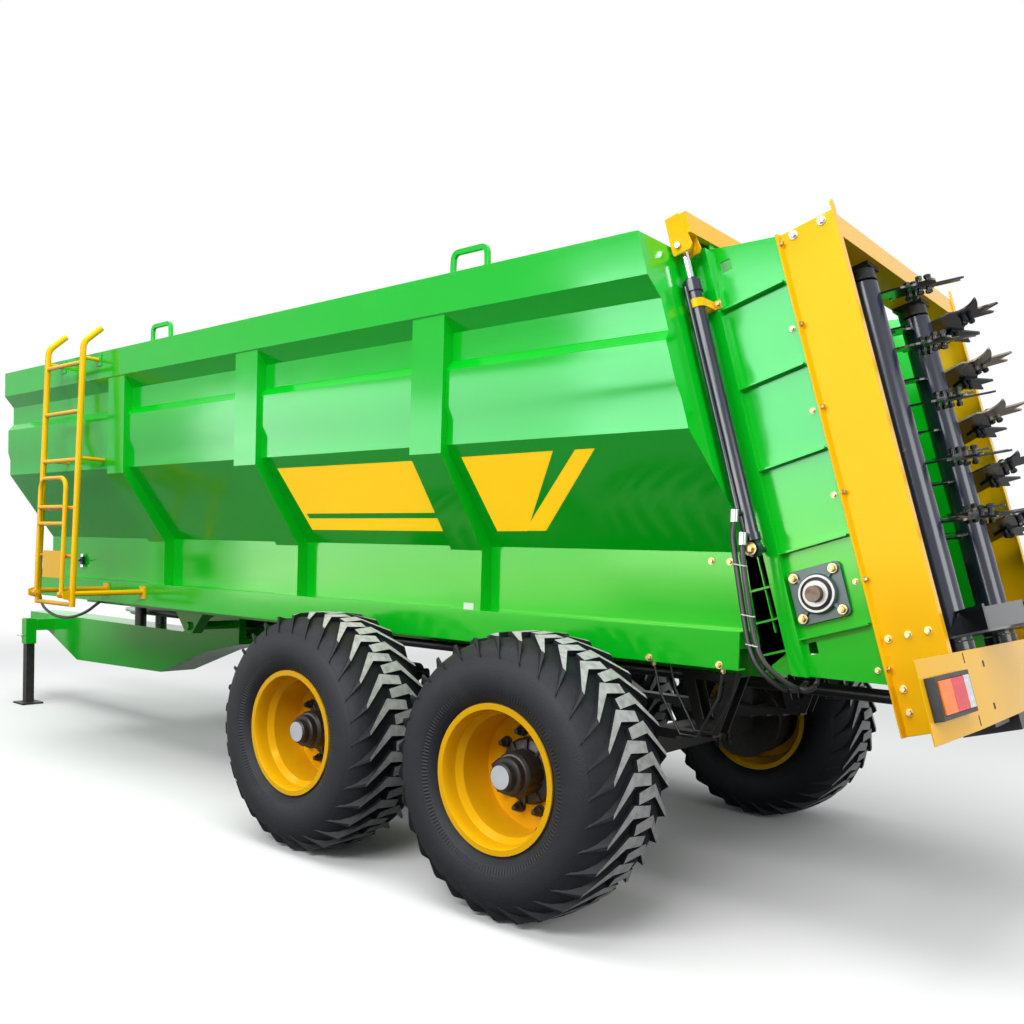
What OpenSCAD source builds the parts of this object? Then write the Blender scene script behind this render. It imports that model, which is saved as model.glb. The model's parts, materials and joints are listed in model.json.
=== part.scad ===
// Tandem-axle manure spreader, towed.
// +X is forward, +Y is left, +Z is up. The ground is Z = 0 and the origin is
// the middle of the machine's box on the ground.
// Inside the modules X is measured forward from the rear axle.

/* [Hopper] */
// Rear axle to the outside of the front wall
front_wall_x = 5100; // [4600:50:5600]
// Half width over the top rails
rail_half_w = 1120; // [1060:5:1160]
// Height of the top rails above the ground
rail_top_z = 2690; // [2500:10:2900]
// Height of the top rail's upright face
rail_h = 170; // [120:5:200]
// Width of the top rail's flat top
rail_top_w = 90; // [70:5:110]
// Half width of the wall panels below the rail
panel_half_w = 1057; // [1030:1:1060]
// How far the middle panel stands out
middle_step = 36; // [15:1:45]
// Height where the upright panels end and the slope begins
slope_top_z = 1945; // [1850:5:2000]
// Height where the slope meets the floor channel
slope_foot_z = 1500; // [1460:5:1600]
// Half width of the floor channel
channel_half_w = 755; // [740:1:780]
// Thickness of the hopper's sheet metal
wall_t = 5; // [3:0.5:8]
// Height of the hopper floor
floor_z = 1425; // [1400:1:1440]

/* [Ribs] */
// Width of a hopper rib
rib_w = 200; // [120:5:240]
// How far a rib's foot stands out of the channel wall
rib_foot_d = 68; // [40:1:85]

/* [Chassis] */
// Height of the sills' top flange
sill_top_z = 1200; // [1180:1:1210]
// Height of the sill web
sill_h = 150; // [110:5:180]
// Half width over the sills
sill_half_w = 850; // [830:1:870]
// Thickness of the sill plate
sill_t = 8; // [5:1:12]
// Half spacing of the chassis rails
rail_y = 450; // [400:5:500]
// Width of a chassis rail
chassis_rail_w = 90; // [60:5:110]
// Height of a chassis rail
chassis_rail_h = 130; // [100:5:150]
// Height of a crossmember
cross_h = 70; // [50:5:90]

/* [Rear unit] */
// Forward lean of the rear unit, degrees
lean = 16.7; // [14:0.1:18]
// Half width over the rear side plates
side_half_w = 740; // [730:1:760]
// Thickness of the rear side plates
side_t = 6; // [4:0.5:10]
// Depth of a yellow rear post, front to back
post_d = 223; // [200:1:240]
// Thickness of a rear post's plate
post_t = 6; // [4:0.5:8]
// Thickness of the slurry door
door_t = 8; // [5:0.5:10]
// Travel of the slurry door
door_stroke = 950; // [700:10:980]
// Diameter of a door cylinder's barrel
barrel_d = 62; // [50:1:64]
// Diameter of a door cylinder's rod
rod_d = 32; // [24:1:40]
// Diameter of the floor chain's drive shaft
chain_shaft_d = 60; // [45:1:70]

/* [Beaters] */
// Half spacing of the two upright beaters
beater_y = 325; // [318:1:330]
// Radius to the knives' tips
knife_r = 365; // [340:1:368]
// Diameter of a beater's core tube
core_d = 125; // [90:1:150]
// Spacing of the knife levels on one beater
knife_pitch = 236; // [210:1:240]
// Radius of the bottom throwing disc
disc_r = 290; // [240:1:300]

/* [Wheels] */
// Distance between the two axles
wheelbase = 1306; // [1220:1:1400]
// Diameter over the tyre lugs
tyre_d = 1156; // [1100:1:1180]
// Width of a tyre
tyre_w = 490; // [440:1:500]
// Half track, to the middle of the tyre
track_half = 1133; // [1120:1:1160]
// Diameter over the rim flanges
rim_d = 600; // [580:1:620]
// Diameter of the wheel studs' circle
stud_pcd = 335; // [320:1:340]
// Number of wheel studs
stud_count = 10; // [6:1:12]
// Diameter of a wheel spindle
spindle_d = 80; // [60:1:90]
// Side of the square axle beam
axle_sq = 110; // [90:1:130]

/* [Drawbar and jack] */
// Rear axle to the middle of the towing eye
tow_eye_x = 7000; // [6900:10:7200]
// Height of the towing eye
tow_eye_z = 740; // [700:5:780]
// Bore of the towing eye
tow_eye_bore = 50; // [40:0.5:60]
// Width of the drawbar
drawbar_w = 300; // [240:10:320]
// Rear axle to the jack
jack_x = 6440; // [6300:10:6500]
// Outside width of the jack's square sleeve
jack_sleeve_w = 90; // [80:1:100]
// Lift of the jack leg
jack_lift = 320; // [200:10:340]

/* [Ladder] */
// Rear axle to the ladder's rear stringer
ladder_x = 3670; // [3600:10:3800]
// Spacing of the ladder's stringers
ladder_w = 490; // [400:10:520]
// Diameter of the ladder's tube
ladder_tube_d = 38; // [30:1:42]

/* [Hidden] */
$fn = 48;

// The machine's box along X, from the rear axle
eye_r = 55;
front_reach_x = tow_eye_x + eye_r;
post_rear_x = -1868;               // foot of the posts' rear plane on the ground
beater_v = 91;                     // beater axis ahead of the posts' rear plane
bottom_u = 1225;                   // top of the beam under the beaters
disc_u = bottom_u + 50;            // underside of the throwing discs
knife_u0 = 1725;                   // lowest knife level
function lean_x(v, u) = post_rear_x + v * cos(lean) + u * sin(lean);
function lean_z(v, u) = u * cos(lean) - v * sin(lean);
rear_reach_x = min(lean_x(beater_v - disc_r, disc_u), lean_x(beater_v - knife_r, knife_u0 - 5));
mid_x = (front_reach_x + rear_reach_x) / 2;

axle_z = tyre_d / 2;
slope_out = panel_half_w + 20;     // half width of the lower panel
rail_foot_z = rail_top_z - rail_h;
panel_top_z = rail_foot_z - 77;    // where the rail's underside meets the panel
cover_gap = 7;                     // clearance beside what moves

green = "#0aa03a";
yellow = "#f7b80c";
black = "#1b1d22";
navy = "#2a2f45";
steel = "#9a9c9e";
zinc = "#c9a24a";
rubber = "#2b2b2d";

// ---------------------------------------------------------------- helpers

function unit(v) = v / norm(v);
function left_of(v) = [-v[1], v[0]];
function edge_normal(p, i) = left_of(unit(p[i + 1] - p[i]));
// Offset direction at corner i of an open line of points
function mitre(p, i) =
    let (a = edge_normal(p, max(i - 1, 0)), b = edge_normal(p, min(i, len(p) - 2)))
    (a + b) / (1 + a * b);
// Outline of a sheet of thickness t on the left of a line of points
function sheet(p, t) = concat(p, [for (i = [len(p) - 1:-1:0]) p[i] + t * mitre(p, i)]);

module place() translate([-mid_x, 0, 0]) children();
module both_sides() {
    children();
    mirror([0, 1, 0]) children();
}
// Outline in (Y, Z), drawn out along X
module along_x(x0, x1) translate([x0, 0, 0]) rotate([90, 0, 90]) linear_extrude(x1 - x0) children();
// Outline in (X, Z), drawn out along Y
module along_y(y0, y1) translate([0, y1, 0]) rotate([90, 0, 0]) linear_extrude(y1 - y0) children();
// Box between two corners
module box(a, b) translate(a) cube(b - a);
// Cylinder along Y between two values of Y
module rod_y(x, z, y0, y1, d) translate([x, y1, z]) rotate([90, 0, 0]) cylinder(h = y1 - y0, d = d);
// Round bar between two points
module bar(a, b, d) {
    v = b - a;
    h = norm(v);
    translate(a) rotate([0, acos(v[2] / h), atan2(v[1], v[0])]) cylinder(h = h, d = d);
}
// Elbow of a tube in the (Y, Z) plane: from direction a0 it turns by turn degrees
// about a centre that lies on its left
module elbow(start, a0, turn, r, d) translate(start) rotate([90, 0, 90]) rotate(a0)
    translate([0, r]) rotate(-90) rotate_extrude(angle = turn) translate([r, 0]) circle(d = d);
// Frame of the leaning rear unit: X is its depth v, forward from the posts'
// rear plane, and Z is its height u along the lean
module leaned() translate([post_rear_x, 0, 0]) rotate([0, lean, 0]) children();

// Cord: one polyhedron through hand-chosen points
function spline(p, i, t) =
    let (a = p[max(i - 1, 0)], b = p[i], c = p[i + 1], e = p[min(i + 2, len(p) - 1)])
    0.5 * (2 * b + (c - a) * t + (2 * a - 5 * b + 4 * c - e) * t * t
           + (3 * b - 3 * c + e - a) * t * t * t);
function cord_path(p, n) =
    [for (i = [0:len(p) - 2]) for (k = [0:n - 1]) spline(p, i, k / n), p[len(p) - 1]];
function cord_dir(q, i) = unit(q[min(i + 1, len(q) - 1)] - q[max(i - 1, 0)]);
function cord_side(d) = unit(cross(d, abs(d[1]) < 0.9 ? [0, 1, 0] : [1, 0, 0]));
module cord(p, d, n = 5, sides = 10) {
    q = cord_path(p, n);
    rings = len(q);
    pts = [for (i = [0:rings - 1])
        let (t = cord_dir(q, i), s = cord_side(t), w = cross(t, s))
        for (k = [0:sides - 1]) q[i] + d / 2 * (cos(360 * k / sides) * s + sin(360 * k / sides) * w)];
    walls = [for (i = [0:rings - 2]) for (k = [0:sides - 1])
        let (a = i * sides + k, b = i * sides + (k + 1) % sides)
        each [[a, b, b + sides], [a, b + sides, a + sides]]];
    ends = [[for (k = [sides - 1:-1:0]) k], [for (k = [0:sides - 1]) (rings - 1) * sides + k]];
    polyhedron(pts, concat(walls, ends));
}

// ---------------------------------------------------------------- hopper

rib_xs = [660, 2050, 3455];        // middles of the ribs
panel_rear_v = 590;                // the walls' rear edge in the leaning frame
channel_rear_v = 667;              // the channel's rear edge, set further forward
end_panel_t = 5;

// The upright wall's bands: lower, middle standing out, and upper, with slants between
upright_h = panel_top_z - slope_top_z;
lower_band = 0.22 * upright_h;
upper_band = 0.25 * upright_h;
lower_slant = 55;
upper_slant = 45;
// Outside line of the left wall in (Y, Z), from the channel's foot up and over the rail
wall_line = [
    [channel_half_w, sill_top_z], [channel_half_w, slope_foot_z],
    [slope_out, slope_top_z], [slope_out, slope_top_z + lower_band],
    [panel_half_w + middle_step, slope_top_z + lower_band + lower_slant],
    [panel_half_w + middle_step, panel_top_z - upper_band - upper_slant],
    [panel_half_w, panel_top_z - upper_band], [panel_half_w, panel_top_z],
    [rail_half_w, rail_foot_z], [rail_half_w, rail_top_z], [rail_half_w - rail_top_w, rail_top_z]
];
// Inner plate of the top rail, from the panel's top up to the flat top
rail_plate = [[panel_half_w - wall_t, panel_top_z - 30], [panel_half_w, panel_top_z - 30],
    [panel_half_w, panel_top_z], [rail_half_w - rail_top_w + wall_t, rail_top_z - wall_t / 2],
    [rail_half_w - rail_top_w, rail_top_z - wall_t / 2]];
wall_face = [for (i = [0:9]) wall_line[i]];
rib_y = rail_half_w - 5;
rib_line = [
    [rib_y, panel_top_z + (rail_foot_z - panel_top_z) * (rib_y - panel_half_w) / (rail_half_w - panel_half_w)],
    [rib_y, slope_top_z - 40],
    [channel_half_w + rib_foot_d, slope_foot_z - 20], [channel_half_w + rib_foot_d, sill_top_z]
];
beyond = rail_half_w + 200;         // past the walls on either side
module behind_walls() leaned() box([-900, -beyond, 0], [panel_rear_v, beyond, 1.4 * rail_top_z]);

module wall_side() {
    difference() {
        union() {
            along_x(-1400, front_wall_x - wall_t) polygon(sheet(wall_line, wall_t));
            along_x(-1400, front_wall_x - wall_t) polygon(rail_plate);
        }
        behind_walls();
        along_y(0, beyond) polygon(lean_cut(0, channel_rear_v, sill_top_z - 1, slope_foot_z - 1));
    }
    for (x = rib_xs) along_x(x - rib_w / 2, x + rib_w / 2)
        polygon(concat([for (i = [0:7]) wall_line[i]], rib_line));
    // Leaning end panel that closes the flare towards the door guide
    intersection() {
        along_x(-1400, 600) polygon(concat([[side_half_w, sill_top_z]], wall_face,
            [[rail_half_w - rail_top_w, rail_top_z], [side_half_w, rail_top_z]]));
        leaned() box([panel_rear_v, 0, 0], [panel_rear_v + end_panel_t, beyond, 1.4 * rail_top_z]);
    }
}

module hopper_left() color(green) place() {
    wall_side();
    // Plates behind the ladder's upper stays
    for (s = [0, 1]) box([ladder_x + s * ladder_w - 34, rail_half_w, upper_stay_z - 40],
        [ladder_x + s * ladder_w + 34, rail_half_w + pad_t, upper_stay_z + 40]);
}
module hopper_right() color(green) place() mirror([0, 1, 0]) wall_side();

function stiffener_half(z) = min(channel_half_w + (z - slope_foot_z) / 3, panel_half_w) - 60;
module hopper_front() color(green) place() {
    outline = [for (p = wall_face) p];
    along_x(front_wall_x - wall_t, front_wall_x)
        polygon(concat(outline, [for (i = [len(outline) - 1:-1:0]) [-outline[i][0], outline[i][1]]]));
    // Pressed stiffeners across the wall and posts up its middle
    for (z = [slope_foot_z + 200, slope_top_z + 250])
        box([front_wall_x, -stiffener_half(z), z], [front_wall_x + 40, stiffener_half(z), z + 80]);
    both_sides() box([front_wall_x, 420, sill_top_z], [front_wall_x + 60, 500, rail_foot_z]);
    box([front_wall_x, -rail_half_w + 40, rail_top_z - 90], [front_wall_x + 40, rail_half_w - 40, rail_top_z]);
}

loop_xs = [450, 2990];
loop_l = 250;
loop_h = 110;
loop_t = 20;
loop_bar = 24;                     // width of the loop's plate around its opening
module loop_outline(grow) hull() for (s = [-1, 1]) {
    translate([s * (loop_l / 2 - 55), loop_h - 42]) circle(r = 18 + grow, $fn = 20);
    translate([s * (loop_l / 2 - 45), 24]) circle(r = 10 + grow, $fn = 20);
}
module lifting_loop() along_y(-loop_t / 2, loop_t / 2) difference() {
    intersection() {
        loop_outline(loop_bar);
        translate([-loop_l, 0]) square([2 * loop_l, 2 * loop_h]);
    }
    loop_outline(0);
}
module lifting_lugs() color(green) place() both_sides()
    for (x = loop_xs) translate([x, rail_half_w - 45, rail_top_z]) lifting_loop();

// ---------------------------------------------------------------- floor

chain_shaft_v = 390;
chain_shaft_u = 1532;
chain_shaft_x = lean_x(chain_shaft_v, chain_shaft_u);
chain_shaft_z = lean_z(chain_shaft_v, chain_shaft_u);
chain_r = floor_z + 12 - chain_shaft_z;   // the chain rides just above the floor
idler_x = front_wall_x - 140;
chain_ys = [-520, 520];
slat_h = 28;
slat_pitch = 380;
slat_half = side_half_w - side_t - 10;
slat_seat = 0.05;                  // the slats sit this far off the chain
chain_t = 22;                      // thickness of the chain, in its loop's plane
sprocket_r = chain_r - chain_t / 2 - 1;

// The floor narrows where it passes between the rear side plates
floor_rear_w = side_half_w - side_t - 1;
floor_front_w = channel_half_w - wall_t;
neck_x = lean_x(panel_rear_v + end_panel_t, floor_z / cos(lean)) + 180;
module floor_panel() color(green) place() translate([0, 0, floor_z - wall_t]) linear_extrude(wall_t)
    polygon([[chain_shaft_x + chain_r + 25, -floor_rear_w], [neck_x, -floor_rear_w], [neck_x, -floor_front_w],
        [idler_x - chain_r - 5, -floor_front_w], [idler_x - chain_r - 5, floor_front_w],
        [neck_x, floor_front_w], [neck_x, floor_rear_w], [chain_shaft_x + chain_r + 25, floor_rear_w]]);

chain_pitch = 120;
link_l = 84;
module chain_loop(r0, r1) {
    for (x = [chain_shaft_x, idler_x]) translate([x, chain_shaft_z]) difference() {
        circle(r = r1);
        circle(r = r0);
        translate([x == idler_x ? -2 * r1 : 0, -2 * r1]) square([2 * r1, 4 * r1]);
    }
    for (z = [r0, -r1]) translate([chain_shaft_x, chain_shaft_z + z]) square([idler_x - chain_shaft_x, r1 - r0]);
}
// A strand: the pins' line with a link body at every pitch
module strand() {
    chain_loop(chain_r - chain_t / 4, chain_r + chain_t / 4);
    for (x = [chain_shaft_x + 20:chain_pitch:idler_x - link_l], z = [chain_r, -chain_r])
        translate([x, chain_shaft_z + z - chain_t / 2]) square([link_l, chain_t]);
    for (x = [chain_shaft_x, idler_x], a = [-45, 45]) translate([x, chain_shaft_z])
        rotate(a + (x == idler_x ? 0 : 180)) translate([chain_r - chain_t / 2, -link_l / 2 + 6])
            square([chain_t, link_l - 12]);
}
module floor_chain() color(steel) place()
    for (y = chain_ys) along_y(y - 22, y + 22) strand();
// Slat: a T bar across both strands
slat_half_l = 25;
slat_web = 5;
slat_flange = 7;
module slat() along_y(-slat_half, slat_half) polygon([[-slat_half_l, 0], [slat_half_l, 0],
    [slat_half_l, slat_flange], [slat_web, slat_flange], [slat_web, slat_h], [-slat_web, slat_h],
    [-slat_web, slat_flange], [-slat_half_l, slat_flange]]);
module floor_slats() color(steel) place()
    for (x = [chain_shaft_x + 60:slat_pitch:idler_x - 160], s = [0, 1])
        translate([x + s * 100, 0, chain_shaft_z]) mirror([0, 0, s])
            translate([0, 0, chain_r + chain_t / 2 + slat_seat]) slat();
module floor_shaft() color(steel) place() {
    rod_y(chain_shaft_x, chain_shaft_z, -side_half_w - 75, side_half_w + 75, chain_shaft_d);
    rod_y(idler_x, chain_shaft_z, -channel_half_w + wall_t, channel_half_w - wall_t, chain_shaft_d - 10);
    for (y = chain_ys, x = [chain_shaft_x, idler_x]) rod_y(x, chain_shaft_z, y - 30, y + 30, 2 * sprocket_r);
}

bearing_sq = 205;
bearing_bolt = 77;                 // half spacing of the flange's bolts
bearing_line = [[chain_shaft_d / 2, 0], [75, 0], [75, 34], [70, 42], [60, 42], [60, 36], [49, 36], [49, 50],
    [chain_shaft_d / 2, 50]];
// Flanged bearing: square flange, bolt bosses, corner ribs and a round housing
module shaft_bearing() leaned() translate([chain_shaft_v, side_half_w, chain_shaft_u]) rotate([-90, 0, 0]) {
    difference() {
        union() {
            linear_extrude(18) for (a = [0, 90]) rotate(a)
                square([bearing_sq, bearing_sq - 44], center = true);
            for (a = [-1, 1], b = [-1, 1]) translate([a, b, 0] * (bearing_sq / 2 - 22)) cylinder(h = 18, r = 22);
            for (a = [-1, 1], b = [-1, 1]) translate([a, b, 0] * bearing_bolt) cylinder(h = 26, r = 20);
            for (a = [45:90:315]) rotate(a) translate([60, -7, 0]) cube([40, 14, 30]);
        }
        translate([0, 0, -1]) cylinder(h = 60, r = 74.9);
    }
    rotate_extrude() polygon(bearing_line);
}
module shaft_bearings() color("#4c6a66") place() both_sides() shaft_bearing();

// ---------------------------------------------------------------- chassis

sill_rear_x = -790;
module sills() color(green) place() both_sides()
    along_x(sill_rear_x, front_wall_x) polygon(sheet([
        [sill_half_w - 60, sill_top_z - sill_h], [sill_half_w, sill_top_z - sill_h],
        [sill_half_w, sill_top_z], [channel_half_w - 30, sill_top_z]], sill_t));

cross_xs = [-700, 80, 660, 1240, 2050, 2760, 3455, 4200, 4980];
cross_top_z = sill_top_z - sill_t;
rail_foot = cross_top_z - cross_h - chassis_rail_h;
module crossmembers() color(green) place() for (x = cross_xs)
    box([x - 40, -sill_half_w + sill_t, cross_top_z - cross_h], [x + 40, sill_half_w - sill_t, cross_top_z]);
module chassis_rails() color(green) place() both_sides()
    box([sill_rear_x, rail_y - chassis_rail_w / 2, rail_foot],
        [front_wall_x - 30, rail_y + chassis_rail_w / 2, cross_top_z - cross_h]);

spring_half = 500;
spring_seat_t = 16;
spring_leaf_t = 14;
spring_leaves = 5;
spring_top_z = axle_z + axle_sq / 2 + spring_seat_t + spring_leaf_t * spring_leaves;
equalizer_h = 80;
hanger_half = 46;
// Hanger: two tapered cheeks with a window, a top plate and the pin at the foot
module hanger(x, foot_z) {
    for (y = [rail_y - hanger_half, rail_y + hanger_half - 10]) along_y(y, y + 10) difference() {
        polygon([[x - 140, rail_foot - 10], [x - 48, foot_z - 22], [x + 48, foot_z - 22], [x + 140, rail_foot - 10]]);
        polygon([[x - 76, rail_foot - 40], [x - 26, foot_z + 40], [x + 26, foot_z + 40], [x + 76, rail_foot - 40]]);
    }
    box([x - 155, rail_y - hanger_half - 14, rail_foot - 10], [x + 155, rail_y + hanger_half + 14, rail_foot]);
}
module spring_hangers() color(black) place() both_sides() {
    for (x = [-spring_half + 20, wheelbase + spring_half - 20]) {
        hanger(x, spring_top_z + 24);
        rod_y(x, spring_top_z + 24, rail_y - hanger_half - 12, rail_y + hanger_half + 12, 48);
    }
    hanger(wheelbase / 2, spring_top_z + equalizer_h + 24);
    rod_y(wheelbase / 2, spring_top_z + equalizer_h + 24, rail_y - hanger_half - 12, rail_y + hanger_half + 12, 48);
}
module leaf_spring(x) for (i = [0:spring_leaves - 1])
    box([x - spring_half + 90 * i, rail_y - 38, spring_top_z - spring_leaf_t * (i + 1)],
        [x + spring_half - 90 * i, rail_y + 38, spring_top_z - spring_leaf_t * i]);
module springs() color(black) place() both_sides() {
    for (x = [0, wheelbase]) {
        leaf_spring(x);
        box([x - 75, rail_y - 50, axle_z + axle_sq / 2], [x + 75, rail_y + 50, axle_z + axle_sq / 2 + spring_seat_t]);
    }
    // Equalizing beam between the two springs
    along_y(rail_y - 36, rail_y + 36) polygon([[spring_half - 40, spring_top_z],
        [wheelbase - spring_half + 40, spring_top_z], [wheelbase / 2 + 45, spring_top_z + equalizer_h],
        [wheelbase / 2 - 45, spring_top_z + equalizer_h]]);
}

drum_y0 = 800;
drum_y1 = 960;
module axles() color(black) place() for (x = [0, wheelbase]) {
    box([x - axle_sq / 2, -drum_y0, axle_z - axle_sq / 2], [x + axle_sq / 2, drum_y0, axle_z + axle_sq / 2]);
    both_sides() rod_y(x, axle_z, drum_y0, hub_y1 - 12, spindle_d);
}
cam_x = 130;                       // brake cam shaft behind and above the axle
cam_z = 90;
cylinder_y = 590;                  // brake cylinder's middle
module brakes() color(black) place() both_sides() for (x = [0, wheelbase]) difference() {
    union() {
        rod_y(x, axle_z, drum_y0, drum_y0 + 10, 424);
        rod_y(x, axle_z, drum_y0 + 10, drum_y0 + 30, 300);
        // Cam shaft tube and its lever
        rod_y(x - cam_x, axle_z + cam_z, cylinder_y - 40, drum_y0, 40);
        along_y(cylinder_y - 40, cylinder_y - 22) difference() {
            hull() {
                translate([x - cam_x, axle_z + cam_z]) circle(r = 34);
                translate([x - cam_x, axle_z + cam_z + 160]) circle(r = 20);
            }
            translate([x - cam_x, axle_z + cam_z + 160]) circle(r = 9);
        }
        // Brake cylinder on its bracket in front of the lever
        translate([x - cam_x + 30, cylinder_y, axle_z + cam_z + 160]) rotate([0, 90, 0]) {
            cylinder(h = 130, d = 96);
            translate([0, 0, -70]) cylinder(h = 72, d = 18);
        }
        box([x - cam_x + 60, cylinder_y - 40, axle_z + axle_sq / 2],
            [x - cam_x + 130, cylinder_y + 40, axle_z + cam_z + 130]);
    }
    rod_y(x, axle_z, drum_y0 - 1, drum_y0 + 31, spindle_d);
}

// ---------------------------------------------------------------- wheels

rim_outer_y = 210;                 // rim flange plane from the wheel's middle
rim_t = 9;                         // thickness of the rim
disc_y = -40;                      // outer face of the wheel disc from the wheel's middle
disc_t = 14;
spigot_r = 138;                    // hub spigot that centres the wheel disc
stud_d = 22;
hub_flange_y = disc_y - disc_t - 12;
hub_y0 = drum_y0 + 36 - track_half;
hub_y1 = track_half + 95;
bead_r = rim_d / 2 - 18;

lug_count = 30;                    // tread lugs on each side of the tyre
lug_h = 24;
lug_root = 14;                     // how deep a lug is rooted in the carcass
carcass_r = tyre_d / 2 - lug_h;
side_h = carcass_r - rim_d / 2;
// Sidewall and shoulder: [share of the section's height, share of the half width]
section = [[0.02, 0.82], [0.1, 0.91], [0.2, 0.96], [0.32, 0.99], [0.46, 1], [0.58, 0.99], [0.68, 0.965],
    [0.79, 0.9], [0.87, 0.82], [0.94, 0.71], [0.98, 0.58], [1, 0.42]];
side_points = [for (s = section) [rim_d / 2 + s[0] * side_h, s[1] * tyre_w / 2]];
module carcass() rotate([-90, 0, 0]) rotate_extrude($fn = 96) polygon(concat(
    [[bead_r, -rim_outer_y + 10]], [for (p = side_points) [p[0], -p[1]]],
    [for (i = [len(side_points) - 1:-1:0]) side_points[i]], [[bead_r, rim_outer_y - 10],
    [bead_r, rim_outer_y - 60], [bead_r + 40, rim_outer_y - 80], [carcass_r - 36, tyre_w / 2 - 60],
    [carcass_r - 36, -tyre_w / 2 + 60], [bead_r + 40, -rim_outer_y + 80], [bead_r, -rim_outer_y + 60]]));

// Stations of a lug from past the tread's middle over the bend to the shoulder:
// [Y, lag behind the inner end in degrees, half width in degrees, radius of the top]
lug_stations = [[-42, 0, 2.2, tyre_d / 2], [70, -1.5, 2.5, tyre_d / 2 - 1],
    [tyre_w / 2 - 60, 10.5, 0.9, tyre_d / 2 - 13]];
lug_point = [tyre_w / 2 - 5, 17.5, tyre_d / 2 - 98];   // where its ridge dies out on the sidewall
function on_tread(r, a, y) = [r * sin(a), y, r * cos(a)];
module lug(a0) {
    n = len(lug_stations);
    points = concat([for (s = lug_stations) let (a = a0 - s[1], base = s[3] - lug_h - lug_root)
        each [on_tread(base, a - s[2] - 0.4, s[0]), on_tread(base, a + s[2] + 0.4, s[0]),
            on_tread(s[3], a + s[2], s[0]), on_tread(s[3], a - s[2], s[0])]],
        [on_tread(lug_point[2], a0 - lug_point[1], lug_point[0])]);
    walls = [for (i = [0:n - 2], k = [0:3])
        let (a = 4 * i + k, b = 4 * i + (k + 1) % 4)
        each [[a, b, b + 4], [a, b + 4, a + 4]]];
    tip = [for (k = [0:3]) [4 * n - 4 + k, 4 * n - 4 + (k + 1) % 4, 4 * n]];
    polyhedron(points, concat(walls, tip, [[3, 2, 1], [3, 1, 0]]));
}
module tyre() color(rubber) {
    carcass();
    for (i = [0:lug_count - 1]) {
        lug(360 / lug_count * i);
        mirror([0, 1, 0]) lug(360 / lug_count * (i + 0.5));
    }
}

// Rim: inside line from the outer flange over the bead seat and the step to the well
rim_line = [[rim_d / 2, rim_outer_y], [bead_r - 7, rim_outer_y], [bead_r - 12, rim_outer_y - 12],
    [bead_r - 14, rim_outer_y - 70], [bead_r - 36, rim_outer_y - 98], [bead_r - 42, 0]];
rim_back = [[rim_d / 2, rim_outer_y - rim_t], [bead_r - 2, rim_outer_y - rim_t], [bead_r - 2, rim_outer_y - 66],
    [bead_r - 26, rim_outer_y - 96], [bead_r - 32, 0]];
module rim() color(yellow) rotate([-90, 0, 0]) difference() {
    union() {
        rotate_extrude() polygon(concat(rim_line, [for (i = [4:-1:0]) [rim_line[i][0], -rim_line[i][1]]],
            [for (q = rim_back) [q[0], -q[1]]], [for (i = [3:-1:0]) rim_back[i]]));
        translate([0, 0, disc_y - disc_t]) cylinder(h = disc_t, r = bead_r - 36);
    }
    translate([0, 0, disc_y - disc_t - 1]) {
        cylinder(h = disc_t + 2, r = spigot_r + 1);
        for (i = [0:stud_count - 1]) rotate(360 / stud_count * i) translate([stud_pcd / 2, 0, 0])
            cylinder(h = disc_t + 2, d = stud_d + 4);
    }
}

// Hub: brake drum, flange, spigot, barrel nose and cap, with the studs and their cone nuts
hub_line = [[205, hub_y0], [205, hub_y0 + 120], [190, hub_y0 + 140], [165, hub_y0 + 190], [195, hub_flange_y],
    [195, hub_flange_y + 12], [spigot_r, hub_flange_y + 12], [spigot_r, disc_y + 26], [spigot_r - 10, disc_y + 34],
    [94, disc_y + 38], [92, 84], [84, 94], [76, 96], [76, 124], [70, 130], [58, 130], [56, 156], [48, 164], [0, 164]];
module hub() color(black) rotate([-90, 0, 0]) difference() {
    union() {
        rotate_extrude() polygon(concat([[0, hub_y0]], hub_line));
        for (i = [0:stud_count - 1]) rotate(360 / stud_count * i) {
            translate([stud_pcd / 2, 0, hub_flange_y + 6]) cylinder(h = disc_t + 40, d = stud_d);
            translate([stud_pcd / 2, 0, disc_y]) cylinder(h = 8, d = 50);
            translate([stud_pcd / 2, 0, disc_y + 8]) cylinder(h = 18, d = 40);
            translate([stud_pcd / 2, 0, disc_y + 26]) cylinder(h = 26, d1 = 36, d2 = 20);
            // Ribs between the barrel and the spigot's edge
            rotate(180 / stud_count) translate([80, -6, disc_y + 30]) cube([spigot_r - 86, 12, 16]);
        }
    }
    translate([0, 0, hub_y0 - 1]) cylinder(h = hub_y1 - track_half - 10 - hub_y0 + 1, d = spindle_d + 0.1);
}

module at_wheel(x, side) place() translate([x, side * track_half, axle_z])
    mirror([0, side > 0 ? 0 : 1, 0]) children();

module tyre_front_left() at_wheel(wheelbase, 1) tyre();
module rim_front_left() at_wheel(wheelbase, 1) rim();
module hub_front_left() at_wheel(wheelbase, 1) hub();
module tyre_rear_left() at_wheel(0, 1) tyre();
module rim_rear_left() at_wheel(0, 1) rim();
module hub_rear_left() at_wheel(0, 1) hub();
module tyre_front_right() at_wheel(wheelbase, -1) tyre();
module rim_front_right() at_wheel(wheelbase, -1) rim();
module hub_front_right() at_wheel(wheelbase, -1) hub();
module tyre_rear_right() at_wheel(0, -1) tyre();
module rim_rear_right() at_wheel(0, -1) rim();
module hub_rear_right() at_wheel(0, -1) hub();

// ---------------------------------------------------------------- rear unit

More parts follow.
